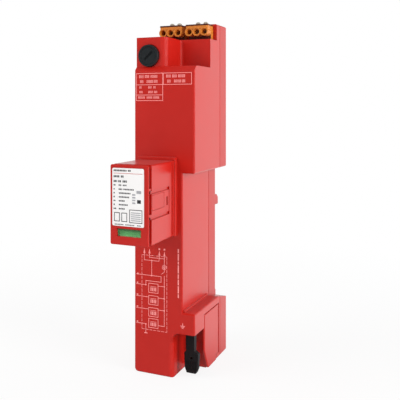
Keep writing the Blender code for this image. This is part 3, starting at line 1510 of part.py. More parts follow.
def build_release_button(side, outer, inward, slide):
    """Sprung button in a side of the module, with the arm that latches in the bay."""
    face = outer + inward * BUTTON_SINK
    x = sorted((face, face + inward * BUTTON_T))
    front, rear = CASE_Y + GAP, -BUTTON_END - GAP
    top, rib_top = BUTTON_Z + BUTTON_H, BUTTON_Z + BUTTON_RIB
    button = plate(
        f"release_button_{side}",
        "x",
        x,
        [
            (-BUTTON_NOSE, BUTTON_Z, GAP),
            (rear, BUTTON_Z, GAP),
            (rear, top, GAP),
            (front, top, GAP),
            (front, rib_top, 0),
            (-BUTTON_NOSE, rib_top, GAP),
        ],
    )
    pad_z = (BUTTON_Z + BUTTON_H / 4, BUTTON_Z + BUTTON_H - 2 * GAP)
    groove_x = sorted((face - inward * MARGIN, face + inward * GAP))
    pad_y = (-BUTTON_NOSE + 2 * WALL, -BUTTON_END - 4 * WALL)
    groove = block(f"{side}_pad_line", groove_x, pad_y, pad_z)
    core_x = sorted((face - inward * 2 * MARGIN, face + inward * 2 * GAP))
    core = block(
        f"{side}_pad_core",
        core_x,
        (pad_y[0] + GAP, pad_y[1] - GAP),
        (pad_z[0] + GAP, pad_z[1] - GAP),
    )
    cut(groove, core)
    mark_y = -BUTTON_END - BUTTON_MARK_END
    mark = block(
        f"{side}_button_mark",
        sorted((face - inward * MARGIN, face + inward * BUTTON_MARK_D)),
        (mark_y - BUTTON_MARK_W / 2, mark_y + BUTTON_MARK_W / 2),
        (BUTTON_MID - BUTTON_MARK_H / 2, BUTTON_MID + BUTTON_MARK_H / 2),
    )
    latch = outer + inward * LATCH_X
    arm = block(
        f"{side}_latch_arm",
        sorted((latch, latch + inward * LATCH_T)),
        (-BUTTON_END - 2 * WALL, LATCH_END),
        (BUTTON_MID - LATCH_H / 2, BUTTON_MID + LATCH_H / 2),
    )
    join(cut(button, groove, mark), arm)
    dress(button, RED)
    point = (face, -(BUTTON_NOSE + BUTTON_END) / 2, BUTTON_MID)
    carry(joint_empty(f"release_button_{side}_press", point, slide), button)


def build_sockets():
    """Spring sockets behind the module bay, one for each blade."""
    start = BAY_D + GAP
    for label, x, z in (
        ("line", LINE_BLADE_X, LINE_BLADE_Z),
        ("earth", EARTH_BLADE_X, EARTH_BLADE_Z),
    ):
        half = BLADE_T / 2 + SOCKET_CLEAR
        depth = EARTH_BAR_Y - GAP if label == "earth" else CARTRIDGE_Y[0] - GAP
        back = depth - SOCKET_T
        path = [(start, z - half), (back, z - half), (back, z + half), (start, z + half)]
        socket = strip(f"module_socket_{label}", x, path, -SOCKET_T)
        dress(socket, COPPER)


build_front_housing()
build_rear_base()
build_housing_screws()
build_claws_and_cartridges()
build_earth_bar()
build_earth_clamp()
build_flap()
build_lock_slider()
build_terminals()
build_fuse()
build_module()
build_sockets()
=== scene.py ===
"""Finishes, print, studio and finer pieces for the busbar surge arrester.

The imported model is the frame: every piece made here sits on a node of it and rides on
one of its bodies. All lengths are in metres unless a name says otherwise. The print is
laid out in millimetres on the front, from its left side and its bottom.
"""
from __future__ import annotations

import logging
import math
from dataclasses import dataclass
from enum import Enum

import bmesh
import bpy
import numpy as np
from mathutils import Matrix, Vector


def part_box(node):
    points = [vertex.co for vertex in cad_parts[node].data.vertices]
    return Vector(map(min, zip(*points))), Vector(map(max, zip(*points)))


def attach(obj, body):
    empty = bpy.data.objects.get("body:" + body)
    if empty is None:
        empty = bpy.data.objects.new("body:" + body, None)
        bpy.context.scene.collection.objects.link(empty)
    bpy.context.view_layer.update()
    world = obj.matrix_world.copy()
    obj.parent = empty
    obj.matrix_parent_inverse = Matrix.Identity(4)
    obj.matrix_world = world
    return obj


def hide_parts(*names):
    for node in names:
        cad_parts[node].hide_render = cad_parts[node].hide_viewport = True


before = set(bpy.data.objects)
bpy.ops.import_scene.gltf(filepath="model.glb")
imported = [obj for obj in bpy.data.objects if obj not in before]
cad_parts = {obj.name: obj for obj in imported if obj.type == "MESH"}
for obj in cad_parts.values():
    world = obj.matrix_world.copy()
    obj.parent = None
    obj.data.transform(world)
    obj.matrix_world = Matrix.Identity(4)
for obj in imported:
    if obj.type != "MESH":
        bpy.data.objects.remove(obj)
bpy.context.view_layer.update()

LOG = logging.getLogger("surge_arrester")
MM = 0.001  # metres
WHITE = (1.0, 1.0, 1.0, 1.0)
NOISE_SPAN = {"From Min": 0.3, "From Max": 0.7}  # most values of a noise lie in it
MERGE = 1e-7  # points closer than this become one
CREASE = 35.0  # degrees; edges sharper than this stay sharp
TURNED_SIDES = 48  # points round each circle of a turned piece
CORNER_STEPS = 8  # points in the quarter circle of a corner
EDGE_STEPS = 5  # points in the quarter circle of an edge

Spot = tuple[float, float]
Point = tuple[float, float, float]
Rows = tuple[tuple[float, float, tuple[Spot, ...]], ...]  # each: foot, height, spans


class Body(Enum):
    """Bodies of the frame that pieces ride on."""

    BASE = "base"
    MODULE = "module"
    FUSE = "fuse_link"
    CAP = "fuse_cap"
    BUTTON_LEFT = "release_button_left"
    BUTTON_RIGHT = "release_button_right"


class Slot(Enum):
    """Material slots of the record."""

    RED = "red_housing"
    BLACK = "black_polyamide"
    CERAMIC = "white_ceramic"
    TIN = "tinned_copper"
    GREY = "grey_polyamide"


def linear(hex_code: str) -> tuple[float, float, float, float]:
    """Linear colour of an sRGB hex value.

    Args:
        hex_code: six hex digits.

    Returns:
        Red, green, blue and an alpha of 1, each from 0 to 1.
    """
    channels = np.array([int(hex_code[i : i + 2], 16) for i in (0, 2, 4)]) / 255
    low = channels / 12.92
    high = ((channels + 0.055) / 1.055) ** 2.4
    return (*np.where(channels <= 0.04045, low, high).tolist(), 1.0)


def add_node(
    tree: bpy.types.NodeTree, kind: str, inputs: dict | None = None, **settings: object
) -> bpy.types.Node:
    """Adds one node to a tree.

    Args:
        tree: the node tree.
        kind: Blender's type name of the node.
        inputs: value of each input by name or number; an output socket makes a link.
        settings: properties of the node itself.

    Returns:
        The new node.
    """
    node = tree.nodes.new(kind)
    for name, value in settings.items():
        setattr(node, name, value)
    for name, value in (inputs or {}).items():
        if isinstance(value, bpy.types.NodeSocket):
            tree.links.new(value, node.inputs[name])
        else:
            node.inputs[name].default_value = value
    return node


def new_material(name: str) -> tuple[bpy.types.Material, bpy.types.NodeTree]:
    """Empty node material and its tree.

    Args:
        name: name of the material.

    Returns:
        The material and its node tree.
    """
    material = bpy.data.materials.new(name)
    material.use_nodes = True
    material.node_tree.nodes.clear()
    return material, material.node_tree


@dataclass(frozen=True)
class MouldedPlastic:
    """Injection-moulded thermoplastic with a fine spark-eroded grain.

    The grain breaks up the reflection, slow waves of the flow change the roughness and
    the tone a little, and every edge is slightly rounded, as it leaves the mould.
    """

    name: str
    colour: str
    roughness: float
    grain_mm: float = 0.7  # the real grain is finer, too fine to show
    grain_strength: float = 0.07
    flow_mm: float = 22.0
    edge_mm: float = 0.35
    unevenness: float = 0.03  # of the roughness, either way
    mottle: float = 0.03  # of the tone, either way
    ior: float = 1.5
    haze: float = 0.05  # pale sheen of the grain at a flat angle
    skin: float = 0.35  # smooth skin of resin that forms against the mould

    def build(self) -> bpy.types.Material:
        """Makes the material.

        Returns:
            The finished node material.
        """
        material, tree = new_material(self.name)
        place = add_node(tree, "ShaderNodeTexCoord").outputs["Object"]
        grain = add_node(
            tree,
            "ShaderNodeTexNoise",
            {"Vector": place, "Scale": 1 / (self.grain_mm * MM), "Detail": 3.0, "Roughness": 0.6},
        )
        flow = add_node(
            tree,
            "ShaderNodeTexNoise",
            {"Vector": place, "Scale": 1 / (self.flow_mm * MM), "Detail": 2.0},
        )
        roughness, tone = (
            add_node(
                tree,
                "ShaderNodeMapRange",
                {"Value": flow.outputs["Fac"], **NOISE_SPAN, "To Min": low, "To Max": high},
            )
            for low, high in (
                (self.roughness - self.unevenness, self.roughness + self.unevenness),
                (1 - self.mottle, 1 + self.mottle),
            )
        )
        tint = add_node(
            tree,
            "ShaderNodeHueSaturation",
            {"Color": linear(self.colour), "Value": tone.outputs["Result"]},
        )
        edge = add_node(tree, "ShaderNodeBevel", {"Radius": self.edge_mm * MM}, samples=6)
        bump = add_node(
            tree,
            "ShaderNodeBump",
            {
                "Height": grain.outputs["Fac"],
                "Strength": self.grain_strength,
                "Distance": 0.02 * MM,
                "Normal": edge.outputs["Normal"],
            },
        )
        shader = add_node(
            tree,
            "ShaderNodeBsdfPrincipled",
            {
                "Base Color": tint.outputs["Color"],
                "Roughness": roughness.outputs["Result"],
                "IOR": self.ior,
                "Sheen Weight": self.haze,
                "Sheen Roughness": 0.35,
                "Coat Weight": self.skin,
                "Coat Roughness": 0.25,
                "Normal": bump.outputs["Normal"],
            },
        )
        add_node(tree, "ShaderNodeOutputMaterial", {"Surface": shader.outputs[0]})
        return material


@dataclass(frozen=True)
class RolledMetal:
    """Stamped or turned metal with a thin plated layer.

    Fine streaks along the rolling direction stretch the reflection, and cloudy patches
    of the plating change its roughness.
    """

    name: str
    colour: str
    roughness: float
    streaks_mm: Point = (0.3, 6.0, 6.0)  # the real ones are finer, too fine to show
    cloud_mm: float = 4.0
    polish: Spot = (-0.06, 0.08)  # change of the roughness between the patches

    def build(self) -> bpy.types.Material:
        """Makes the material.

        Returns:
            The finished node material.
        """
        material, tree = new_material(self.name)
        place = add_node(tree, "ShaderNodeTexCoord").outputs["Object"]
        stretch = add_node(
            tree,
            "ShaderNodeMapping",
            {"Vector": place, "Scale": tuple(1 / (size * MM) for size in self.streaks_mm)},
        )
        streaks = add_node(
            tree, "ShaderNodeTexNoise", {"Vector": stretch.outputs[0], "Scale": 1.0, "Detail": 3.0}
        )
        cloud = add_node(
            tree,
            "ShaderNodeTexNoise",
            {"Vector": place, "Scale": 1 / (self.cloud_mm * MM), "Detail": 2.0},
        )
        roughness = add_node(
            tree,
            "ShaderNodeMapRange",
            {
                "Value": cloud.outputs["Fac"],
                **NOISE_SPAN,
                "To Min": self.roughness + self.polish[0],
                "To Max": self.roughness + self.polish[1],
            },
        )
        edge = add_node(tree, "ShaderNodeBevel", {"Radius": 0.15 * MM}, samples=4)
        bump = add_node(
            tree,
            "ShaderNodeBump",
            {
                "Height": streaks.outputs["Fac"],
                "Strength": 0.15,
                "Distance": 0.01 * MM,
                "Normal": edge.outputs["Normal"],
            },
        )
        shader = add_node(
            tree,
            "ShaderNodeBsdfPrincipled",
            {
                "Base Color": linear(self.colour),
                "Metallic": 1.0,
                "Roughness": roughness.outputs["Result"],
                "Normal": bump.outputs["Normal"],
            },
        )
        add_node(tree, "ShaderNodeOutputMaterial", {"Surface": shader.outputs[0]})
        return material


@dataclass(frozen=True)
class GlazedCeramic:
    """Steatite tube with a thin clear glaze, which gives a sharp highlight on a soft white."""

    name: str
    colour: str
    wave_mm: float = 3.0

    def build(self) -> bpy.types.Material:
        """Makes the material.

        Returns:
            The finished node material.
        """
        material, tree = new_material(self.name)
        place = add_node(tree, "ShaderNodeTexCoord").outputs["Object"]
        wave = add_node(
            tree,
            "ShaderNodeTexNoise",
            {"Vector": place, "Scale": 1 / (self.wave_mm * MM), "Detail": 1.0},
        )
        bump = add_node(
            tree,
            "ShaderNodeBump",
            {"Height": wave.outputs["Fac"], "Strength": 0.08, "Distance": 0.02 * MM},
        )
        shader = add_node(
            tree,
            "ShaderNodeBsdfPrincipled",
            {
                "Base Color": linear(self.colour),
                "Roughness": 0.35,
                "IOR": 1.6,
                "Coat Weight": 0.5,
                "Coat Roughness": 0.08,
                "Normal": bump.outputs["Normal"],
            },
        )
        add_node(tree, "ShaderNodeOutputMaterial", {"Surface": shader.outputs[0]})
        return material


@dataclass(frozen=True)
class ClearPane:
    """Polished clear polycarbonate: the lamps light the indicator through it."""

    name: str
    colour: str

    def build(self) -> bpy.types.Material:
        """Makes the material.

        Returns:
            The finished node material.
        """
        material, tree = new_material(self.name)
        shader = add_node(
            tree,
            "ShaderNodeBsdfPrincipled",
            {
                "Base Color": linear(self.colour),
                "Roughness": 0.06,
                "IOR": 1.58,
                "Transmission Weight": 1.0,
            },
        )
        through = add_node(tree, "ShaderNodeBsdfTransparent", {"Color": linear(self.colour)})
        rays = add_node(tree, "ShaderNodeLightPath")
        lit = add_node(
            tree,
            "ShaderNodeMixShader",
            {0: rays.outputs["Is Shadow Ray"], 1: shader.outputs[0], 2: through.outputs[0]},
        )
        add_node(tree, "ShaderNodeOutputMaterial", {"Surface": lit.outputs[0]})
        return material


@dataclass(frozen=True)
class PrintedInk:
    """Pad-printed ink: a thin matt layer, slightly uneven where the pad let go."""

    name: str
    colour: str
    roughness: float = 0.55
    patch_mm: float = 1.2
    cover: Spot = (0.9, 1.05)  # tone of its thinnest and thickest patches

    def build(self) -> bpy.types.Material:
        """Makes the material.

        Returns:
            The finished node material.
        """
        material, tree = new_material(self.name)
        place = add_node(tree, "ShaderNodeTexCoord").outputs["Object"]
        patches = add_node(
            tree,
            "ShaderNodeTexNoise",
            {"Vector": place, "Scale": 1 / (self.patch_mm * MM), "Detail": 2.0},
        )
        tone = add_node(
            tree,
            "ShaderNodeMapRange",
            {
                "Value": patches.outputs["Fac"],
                **NOISE_SPAN,
                "To Min": self.cover[0],
                "To Max": self.cover[1],
            },
        )
        tint = add_node(
            tree,
            "ShaderNodeHueSaturation",
            {"Color": linear(self.colour), "Value": tone.outputs["Result"]},
        )
        shader = add_node(
            tree,
            "ShaderNodeBsdfPrincipled",
            {"Base Color": tint.outputs["Color"], "Roughness": self.roughness, "IOR": 1.45},
        )
        add_node(tree, "ShaderNodeOutputMaterial", {"Surface": shader.outputs[0]})
        return material


@dataclass(frozen=True)
class LabelFilm:
    """White polyester label film with a satin face and the slight waviness of its glue."""

    name: str
    colour: str
    wave_mm: float = 5.0

    def build(self) -> bpy.types.Material:
        """Makes the material.

        Returns:
            The finished node material.
        """
        material, tree = new_material(self.name)
        place = add_node(tree, "ShaderNodeTexCoord").outputs["Object"]
        wave = add_node(
            tree,
            "ShaderNodeTexNoise",
            {"Vector": place, "Scale": 1 / (self.wave_mm * MM), "Detail": 2.0},
        )
        bump = add_node(
            tree,
            "ShaderNodeBump",
            {"Height": wave.outputs["Fac"], "Strength": 0.1, "Distance": 0.05 * MM},
        )
        shader = add_node(
            tree,
            "ShaderNodeBsdfPrincipled",
            {
                "Base Color": linear(self.colour),
                "Roughness": 0.4,
                "IOR": 1.5,
                "Normal": bump.outputs["Normal"],
            },
        )
        add_node(tree, "ShaderNodeOutputMaterial", {"Surface": shader.outputs[0]})
        return material


@dataclass(frozen=True)
class StudioPaper:
    """White background paper. It shows white and keeps a faint shadow.

    The shadow fades out with the distance from the object, so the paper meets the white
    room without a line.
    """

    name: str
    colour: str
    glow: float = 0.86  # share of plain white beside the object
    shadow_reach: float = 0.45
    front_shade: float = 0.10  # what a reflection shows of the paper in front of the object
    front_span: Spot = (-0.04, 0.10)  # where that turns white, along Y

    def build(self) -> bpy.types.Material:
        """Makes the material.

        Returns:
            The finished node material.
        """
        material, tree = new_material(self.name)
        paper = add_node(tree, "ShaderNodeBsdfDiffuse", {"Color": linear(self.colour)})
        white = add_node(tree, "ShaderNodeEmission", {"Color": WHITE, "Strength": 1.0})
        place = add_node(tree, "ShaderNodeTexCoord").outputs["Object"]
        away = add_node(tree, "ShaderNodeVectorMath", {0: place}, operation="LENGTH")
        glow = add_node(
            tree,
            "ShaderNodeMapRange",
            {
                "Value": away.outputs["Value"],
                "From Min": self.shadow_reach / 3,
                "From Max": self.shadow_reach,
                "To Min": self.glow,
                "To Max": 1.0,
            },
            interpolation_type="SMOOTHSTEP",
        )
        seen = add_node(
            tree,
            "ShaderNodeMixShader",
            {0: glow.outputs["Result"], 1: paper.outputs[0], 2: white.outputs[0]},
        )
        depth = add_node(tree, "ShaderNodeSeparateXYZ", {"Vector": place}).outputs["Y"]
        mirrored = add_node(
            tree,
            "ShaderNodeMapRange",
            {
                "Value": depth,
                "From Min": self.front_span[0],
                "From Max": self.front_span[1],
                "To Min": self.front_shade,
                "To Max": 1.0,
            },
            interpolation_type="SMOOTHSTEP",
        )
        mirror = add_node(
            tree, "ShaderNodeEmission", {"Color": WHITE, "Strength": mirrored.outputs["Result"]}
        )
        rays = add_node(tree, "ShaderNodeLightPath")
        shown = add_node(
            tree,
            "ShaderNodeMath",
            {0: rays.outputs["Is Camera Ray"], 1: rays.outputs["Is Transmission Ray"]},
            operation="MAXIMUM",
        )
        direct = add_node(
            tree,
            "ShaderNodeMixShader",
            {0: shown.outputs[0], 1: paper.outputs[0], 2: seen.outputs[0]},
        )
        mix = add_node(
            tree,
            "ShaderNodeMixShader",
            {0: rays.outputs["Is Glossy Ray"], 1: direct.outputs[0], 2: mirror.outputs[0]},
        )
        add_node(tree, "ShaderNodeOutputMaterial", {"Surface": mix.outputs[0]})
        return material


Finish = (
    MouldedPlastic | RolledMetal | GlazedCeramic | ClearPane | PrintedInk | LabelFilm | StudioPaper
)


class Palette:
    """Finishes of the object, each built once when a piece first asks for it."""

    # Housing: warm satin red with a soft, broad highlight.
    RED = MouldedPlastic("red_moulded_polyamide", "c21b10", 0.33)
    # Rear shell: a little darker and duller than the front one.
    RED_BASE = MouldedPlastic("red_moulded_polyamide_base", "bc1a10", 0.40)
    # Lock slider and fuse holder: dull warm black; also the painted shade in the buttons' finger
    # marks.
    BLACK = MouldedPlastic(
        "black_glass_filled_polyamide", "1c181a", 0.50, mottle=0.05, ior=1.45, haze=0.0, skin=0.0
    )
    # Fuse cap: satin blue-black.
    CAP = MouldedPlastic("black_moulded_polyamide", "25292b", 0.42, mottle=0.05, haze=0.0, skin=0.0)
    # Wire terminals: warm satin orange.
    ORANGE = MouldedPlastic("orange_moulded_polyamide", "d47f2c", 0.40)
    # Band round the top of the wire terminals, and painted shadow on their feet: dull dark brown.
    BROWN = MouldedPlastic("dark_brown_band_and_painted_shadow", "55241a", 0.50, haze=0.0, skin=0.0)
    # Arrester element in the module: dark red with the broad lumps of a dipped coat.
    EPOXY = MouldedPlastic(
        "dark_red_epoxy_coating", "a5201a", 0.30, grain_mm=1.5, haze=0.0, skin=0.0
    )
    # Pushers of the wire terminals: plain warm grey.
    GREY = MouldedPlastic("grey_moulded_polyamide", "a59d8f", 0.45)
    # Status flag: light green behind the window.
    GREEN = MouldedPlastic("green_indicator_plastic", "7ac880", 0.40)
    # Arrester blocks: dull charcoal with a strong grain.
    RESIN = MouldedPlastic("charcoal_cast_resin", "45454a", 0.60, grain_strength=0.3)
    # Claws, bars and contacts: warm pale metal with fine streaks.
    TIN = RolledMetal("tinned_rolled_copper", "cfc9bd", 0.34)
    # Screws and clamp: cooler and slightly duller metal.
    ZINC = RolledMetal("bright_zinc_plated_mild_steel", "c9cac8", 0.36)
    # Fuse tube: warm white under a glint.
    CERAMIC = GlazedCeramic("glazed_steatite", "e9e6de")
    # Status window: clear, with a thin bright reflection.
    PANE = ClearPane("polished_clear_polycarbonate", "f0f7f1")
    # Label: clean satin white.
    FILM = LabelFilm("white_polyester_label_film", "f4f2f1")
    # Print on the front: matt pale pink.
    INK = PrintedInk("pale_pad_printed_ink", "ff9f9c")
    # Print on the label: matt charcoal, light grey and red.
    DARK_INK = PrintedInk("dark_grey_label_ink", "3b3a3e")
    GREY_INK = PrintedInk("light_grey_label_ink", "a9a9ad")
    RED_INK = PrintedInk("red_label_ink", "c8474a")
    # Floor: white with a faint soft shadow.
    PAPER = StudioPaper("white_background_paper", "f2f2f2")

    def __init__(self) -> None:
        """Starts with nothing built."""
        self._built: dict[str, bpy.types.Material] = {}

    def get(self, finish: Finish) -> bpy.types.Material:
        """Material of a finish.

        Args:
            finish: one of the finishes above.

        Returns:
            The material, built on first use.
        """
        if finish.name not in self._built:
            self._built[finish.name] = finish.build()
        return self._built[finish.name]


@dataclass(frozen=True)
class Shape:
    """Points of a piece and the faces between them."""

    points: np.ndarray
    faces: list[list[int]]


def skin(rings: np.ndarray, cap_ends: bool = True) -> Shape:
    """Tube over a stack of closed rings.

    Point j of ring i joins point j + 1 of the same ring and the same two of the next.

    Args:
        rings: array of rings by points by 3.
        cap_ends: closes the first and last ring with one face each.

    Returns:
        The tube's points and faces.
    """
    count, around = rings.shape[:2]
    ring, step = np.meshgrid(np.arange(count - 1), np.arange(around), indexing="ij")
    here, above, ahead = ring * around, (ring + 1) * around, (step + 1) % around
    quads = np.stack([here + step, here + ahead, above + ahead, above + step], axis=-1)
    faces = quads.reshape(-1, 4).tolist()
    if cap_ends:
        faces.append(list(range(around)))
        faces.append(list(range((count - 1) * around, count * around)))
    return Shape(rings.reshape(-1, 3), faces)


def turned(centre: np.ndarray, profile: np.ndarray) -> Shape:
    """Piece turned about an axis along Y: each profile point goes round it on a circle.

    Args:
        centre: start point on the axis.
        profile: rows of (distance along the axis, radius).

    Returns:
        The closed surface.
    """
    turn = np.linspace(0, 2 * np.pi, TURNED_SIDES, endpoint=False)
    circle = np.column_stack([np.sin(turn), np.zeros(TURNED_SIDES), np.cos(turn)])
    along = np.array([0.0, 1.0, 0.0])
    return skin(centre + profile[:, 0, None, None] * along + profile[:, 1, None, None] * circle)


def rounded_outline(width: float, height: float, radius: float) -> np.ndarray:
    """Rectangle with round corners about the origin.

    Each corner's centre lies a radius inside both sides, and a quarter circle goes round it.

    Args:
        width: size along the first axis.
        height: size along the second axis.
        radius: corner radius.

    Returns:
        Rows of two coordinates, counter-clockwise.
    """
    signs = np.array([[1, 1], [-1, 1], [-1, -1], [1, -1]])
    centres = signs * (np.array([width, height]) / 2 - radius)
    turn = np.linspace(0, np.pi / 2, CORNER_STEPS) + np.arange(4)[:, None] * np.pi / 2
    arcs = radius * np.stack([np.cos(turn), np.sin(turn)], axis=-1)
    return (centres[:, None] + arcs).reshape(-1, 2)


def pillow_plate(centre: np.ndarray, size: Point, corner: float, edge: float) -> Shape:
    """Plate in the XZ plane with round corners and a rounded front edge.

    The outline is drawn in and moved forward along a quarter circle of the edge's radius.

    Args:
        centre: middle of the back face.
        size: width, thickness towards the front (-Y) and height.
        corner: corner radius of the outline.
        edge: radius of the front edge.

    Returns:
        The closed plate.
    """
    width, thickness, height = size
    turn = np.linspace(0, np.pi / 2, EDGE_STEPS)
    inset = np.concatenate([[0.0], edge * (1 - np.cos(turn))])
    depth = np.concatenate([[0.0], thickness - edge + edge * np.sin(turn)])
    rings = np.array(
        [rounded_outline(width - 2 * i, height - 2 * i, corner - i) for i in inset]
    )
    points = np.empty((len(inset), rings.shape[1], 3))
    points[..., 0] = centre[0] + rings[..., 0]
    points[..., 1] = centre[1] - depth[:, None]
    points[..., 2] = centre[2] + rings[..., 1]
    return skin(points)


def side_plate(centre: np.ndarray, size: Point, corner: float) -> Shape:
    """Flat plate in the YZ plane with round corners.

    The outline is repeated at both ends of the plate's thickness.

    Args:
        centre: middle of the plate.
        size: thickness along X, depth along Y and height.
        corner: corner radius of the outline.

    Returns:
        The closed plate.
    """
    thickness, depth, height = size
    outline = rounded_outline(depth, height, corner)
    points = np.empty((2, len(outline), 3))
    points[..., 0] = centre[0] + np.array([-0.5, 0.5])[:, None] * thickness
    points[..., 1:] = centre[1:] + outline[None]
    return skin(points)


def plan_band(x: Spot, y: Spot, z: Spot, wall: float, corner: float) -> Shape:
    """Upright band round a rectangle in plan.

    The outer and the inner outline, a wall apart, are joined at the top and underneath.

    Args:
        x: left and right side.
        y: front and back.
        z: underside and top.
        wall: thickness of the band.
        corner: corner radius of the outer outline.

    Returns:
        The closed band.
    """
    width, depth = x[1] - x[0], y[1] - y[0]
    outer = rounded_outline(width, depth, corner)
    inner = rounded_outline(width - 2 * wall, depth - 2 * wall, corner - wall / 2)
    rings = np.empty((5, len(outer), 3))
    rings[..., :2] = np.array([outer, outer, inner, inner, outer]) + np.array([sum(x), sum(y)]) / 2
    rings[..., 2] = np.array([z[0], z[1], z[1], z[0], z[0]])[:, None]
    return skin(rings, cap_ends=False)


class Workshop:
    """Makes meshes into pieces, dresses them and puts them on their bodies."""

    def __init__(self, palette: Palette) -> None:
        """Opens a collection for the new pieces.

        Args:
            palette: finishes of the object.
        """
        self.palette = palette
        self.collection = bpy.data.collections.new("dressing")
        bpy.context.scene.collection.children.link(self.collection)

    def piece(
        self,
        name: str,
        shape: Shape,
        finish: Finish,
        body: Body,
        stands_for: tuple[str, ...] = (),
    ) -> None:
        """Makes one piece.

        Args:
            name: name of the piece.
            shape: its points and faces.
            finish: its finish.
            body: body that it rides on.
            stands_for: CAD nodes that it replaces.
        """
        mesh = bpy.data.meshes.new(name)
        mesh.from_pydata(shape.points.tolist(), [], shape.faces)
        work = bmesh.new()
        work.from_mesh(mesh)
        bmesh.ops.remove_doubles(work, verts=work.verts, dist=MERGE)
        bmesh.ops.recalc_face_normals(work, faces=work.faces)
        work.to_mesh(mesh)
        work.free()
        mesh.shade_smooth()
        mesh.set_sharp_from_angle(angle=math.radians(CREASE))
        mesh.materials.append(self.palette.get(finish))
        made = bpy.data.objects.new(name, mesh)
        self.collection.objects.link(made)
        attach(made, body.value)
        if stands_for:
            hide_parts(*stands_for)
        LOG.info("%s: %d faces on %s", name, len(mesh.polygons), body.value)

    def dress(self, finish: Finish, *nodes: str) -> None:
        """Gives CAD nodes a finish.

        Args:
            finish: the finish.
            nodes: names of the nodes.
        """
        material = self.palette.get(finish)
        for name in nodes:
            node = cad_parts[name]
            node.data.materials.clear()
            node.data.materials.append(material)
            LOG.info("%s: %s", name, material.name)


@dataclass(frozen=True)
class Softbox:
    """Square soft lamp that is turned to the object."""

    name: str
    place: Point
    power: float  # watts
    size: float

    def build(self, aim: Point) -> None:
        """Makes the lamp.

        Args:
            aim: point that it is turned to.
        """
        light = bpy.data.lights.new(self.name, "AREA")
        light.energy = self.power
        light.size = self.size
        lamp = bpy.data.objects.new(self.name, light)
        lamp.location = self.place
        way = Vector(aim) - Vector(self.place)
        lamp.rotation_euler = way.to_track_quat("-Z", "Y").to_euler()
        lamp.visible_camera = False
        lamp.visible_glossy = False
        bpy.context.scene.collection.objects.link(lamp)


@dataclass
class Studio:
    """Camera, pale floor, soft lamps and the white room."""

    camera_place: Point = (0.18148, -0.38350, 0.18225)
    azimuth: float = 22.795  # degrees
    lens: float = 54.84  # millimetres, as is the sensor
    sensor: float = 36.0
    shift: float = -0.2348  # share of the picture's side
    near: float = 0.01
    floor_reach: float = 6.0
    floor_drop: float = 0.0001  # under the object
    ambient: float = 0.58
    front_shade: float = 0.10  # what the dark side of the room shows in a reflection
    wall_span: Spot = (-0.4, 0.5)  # where it turns white, along a direction's Y
    ceiling_shade: float = 0.2  # share of the walls' white that is left overhead
    ceiling_span: Spot = (0.1, 0.5)  # where the ceiling darkens, along a direction's Z
    softboxes: tuple[Softbox, ...] = (
        Softbox("key_softbox", (1.50, -0.28, 0.50), 18.0, 0.8),
        Softbox("fill_softbox", (-1.05, -0.85, 0.95), 11.5, 1.0),
        Softbox("rim_softbox", (0.62, 1.47, 0.20), 4.0, 1.4),
    )
    aim: Point = (0.0, 0.0, 0.12)

    def build(self, palette: Palette) -> None:
        """Makes everything round the object.

        Args:
            palette: finishes, for the floor's paper.
        """
        self._camera()
        self._floor(palette)
        self._room()
        for softbox in self.softboxes:
            softbox.build(self.aim)
        bpy.context.scene.view_settings.view_transform = "Standard"

    def _camera(self) -> None:
        """Level camera with the photograph's view; its shift keeps the uprights parallel."""
        lens = bpy.data.cameras.new("camera")
        lens.lens = self.lens
        lens.sensor_width = self.sensor
        lens.shift_y = self.shift
        lens.clip_start = self.near
        camera = bpy.data.objects.new("camera", lens)
        camera.location = self.camera_place
        camera.rotation_euler = (math.pi / 2, 0.0, math.radians(self.azimuth))
        bpy.context.scene.collection.objects.link(camera)
        bpy.context.scene.camera = camera

    def _floor(self, palette: Palette) -> None:
        """Square of paper just under the object.

        Args:
            palette: finishes, for the paper.
        """
        corners = np.array([[-1, -1], [1, -1], [1, 1], [-1, 1]]) * self.floor_reach
        points = np.column_stack([corners, np.full(4, -self.floor_drop)])
        mesh = bpy.data.meshes.new("floor")
        mesh.from_pydata(points.tolist(), [], [[0, 1, 2, 3]])
        mesh.materials.append(palette.get(Palette.PAPER))
        floor = bpy.data.objects.new("floor", mesh)
        bpy.context.scene.collection.objects.link(floor)

    def _room(self) -> None:
        """White room: white where it is seen, and plain soft light on the object.

        Reflections see white behind the object and a darker room in front and above.
        """
        world = bpy.data.worlds.new("white_room")
        bpy.context.scene.world = world
        world.use_nodes = True
        tree = world.node_tree
        tree.nodes.clear()
        way = add_node(tree, "ShaderNodeTexCoord").outputs["Generated"]
        split = add_node(tree, "ShaderNodeSeparateXYZ", {"Vector": way})
        wall, ceiling = (
            add_node(
                tree,
                "ShaderNodeMapRange",
                {
                    "Value": split.outputs[axis],
                    "From Min": span[0],
                    "From Max": span[1],
                    "To Min": low,
                    "To Max": high,
                },
                interpolation_type="SMOOTHSTEP",
            )
            for axis, span, low, high in (
                ("Y", self.wall_span, self.front_shade, 1.0),
                ("Z", self.ceiling_span, 1.0, self.ceiling_shade),
            )
        )
        dimmed = add_node(
            tree,
            "ShaderNodeMath",
            {0: wall.outputs["Result"], 1: ceiling.outputs["Result"]},
            operation="MULTIPLY",
        )
        rays = add_node(tree, "ShaderNodeLightPath")
        mirrored = add_node(
            tree,
            "ShaderNodeMix",
            {0: rays.outputs["Is Glossy Ray"], 2: self.ambient, 3: dimmed.outputs[0]},
            data_type="FLOAT",
        )
        seen = add_node(
            tree,
            "ShaderNodeMath",
            {0: rays.outputs["Is Camera Ray"], 1: rays.outputs["Is Transmission Ray"]},
            operation="MAXIMUM",
        )
        strength = add_node(
            tree,
            "ShaderNodeMix",
            {0: seen.outputs[0], 2: mirrored.outputs[0], 3: 1.0},
            data_type="FLOAT",
        )
        light = add_node(
            tree, "ShaderNodeBackground", {"Color": WHITE, "Strength": strength.outputs[0]}
        )
        add_node(tree, "ShaderNodeOutputWorld", {"Surface": light.outputs[0]})


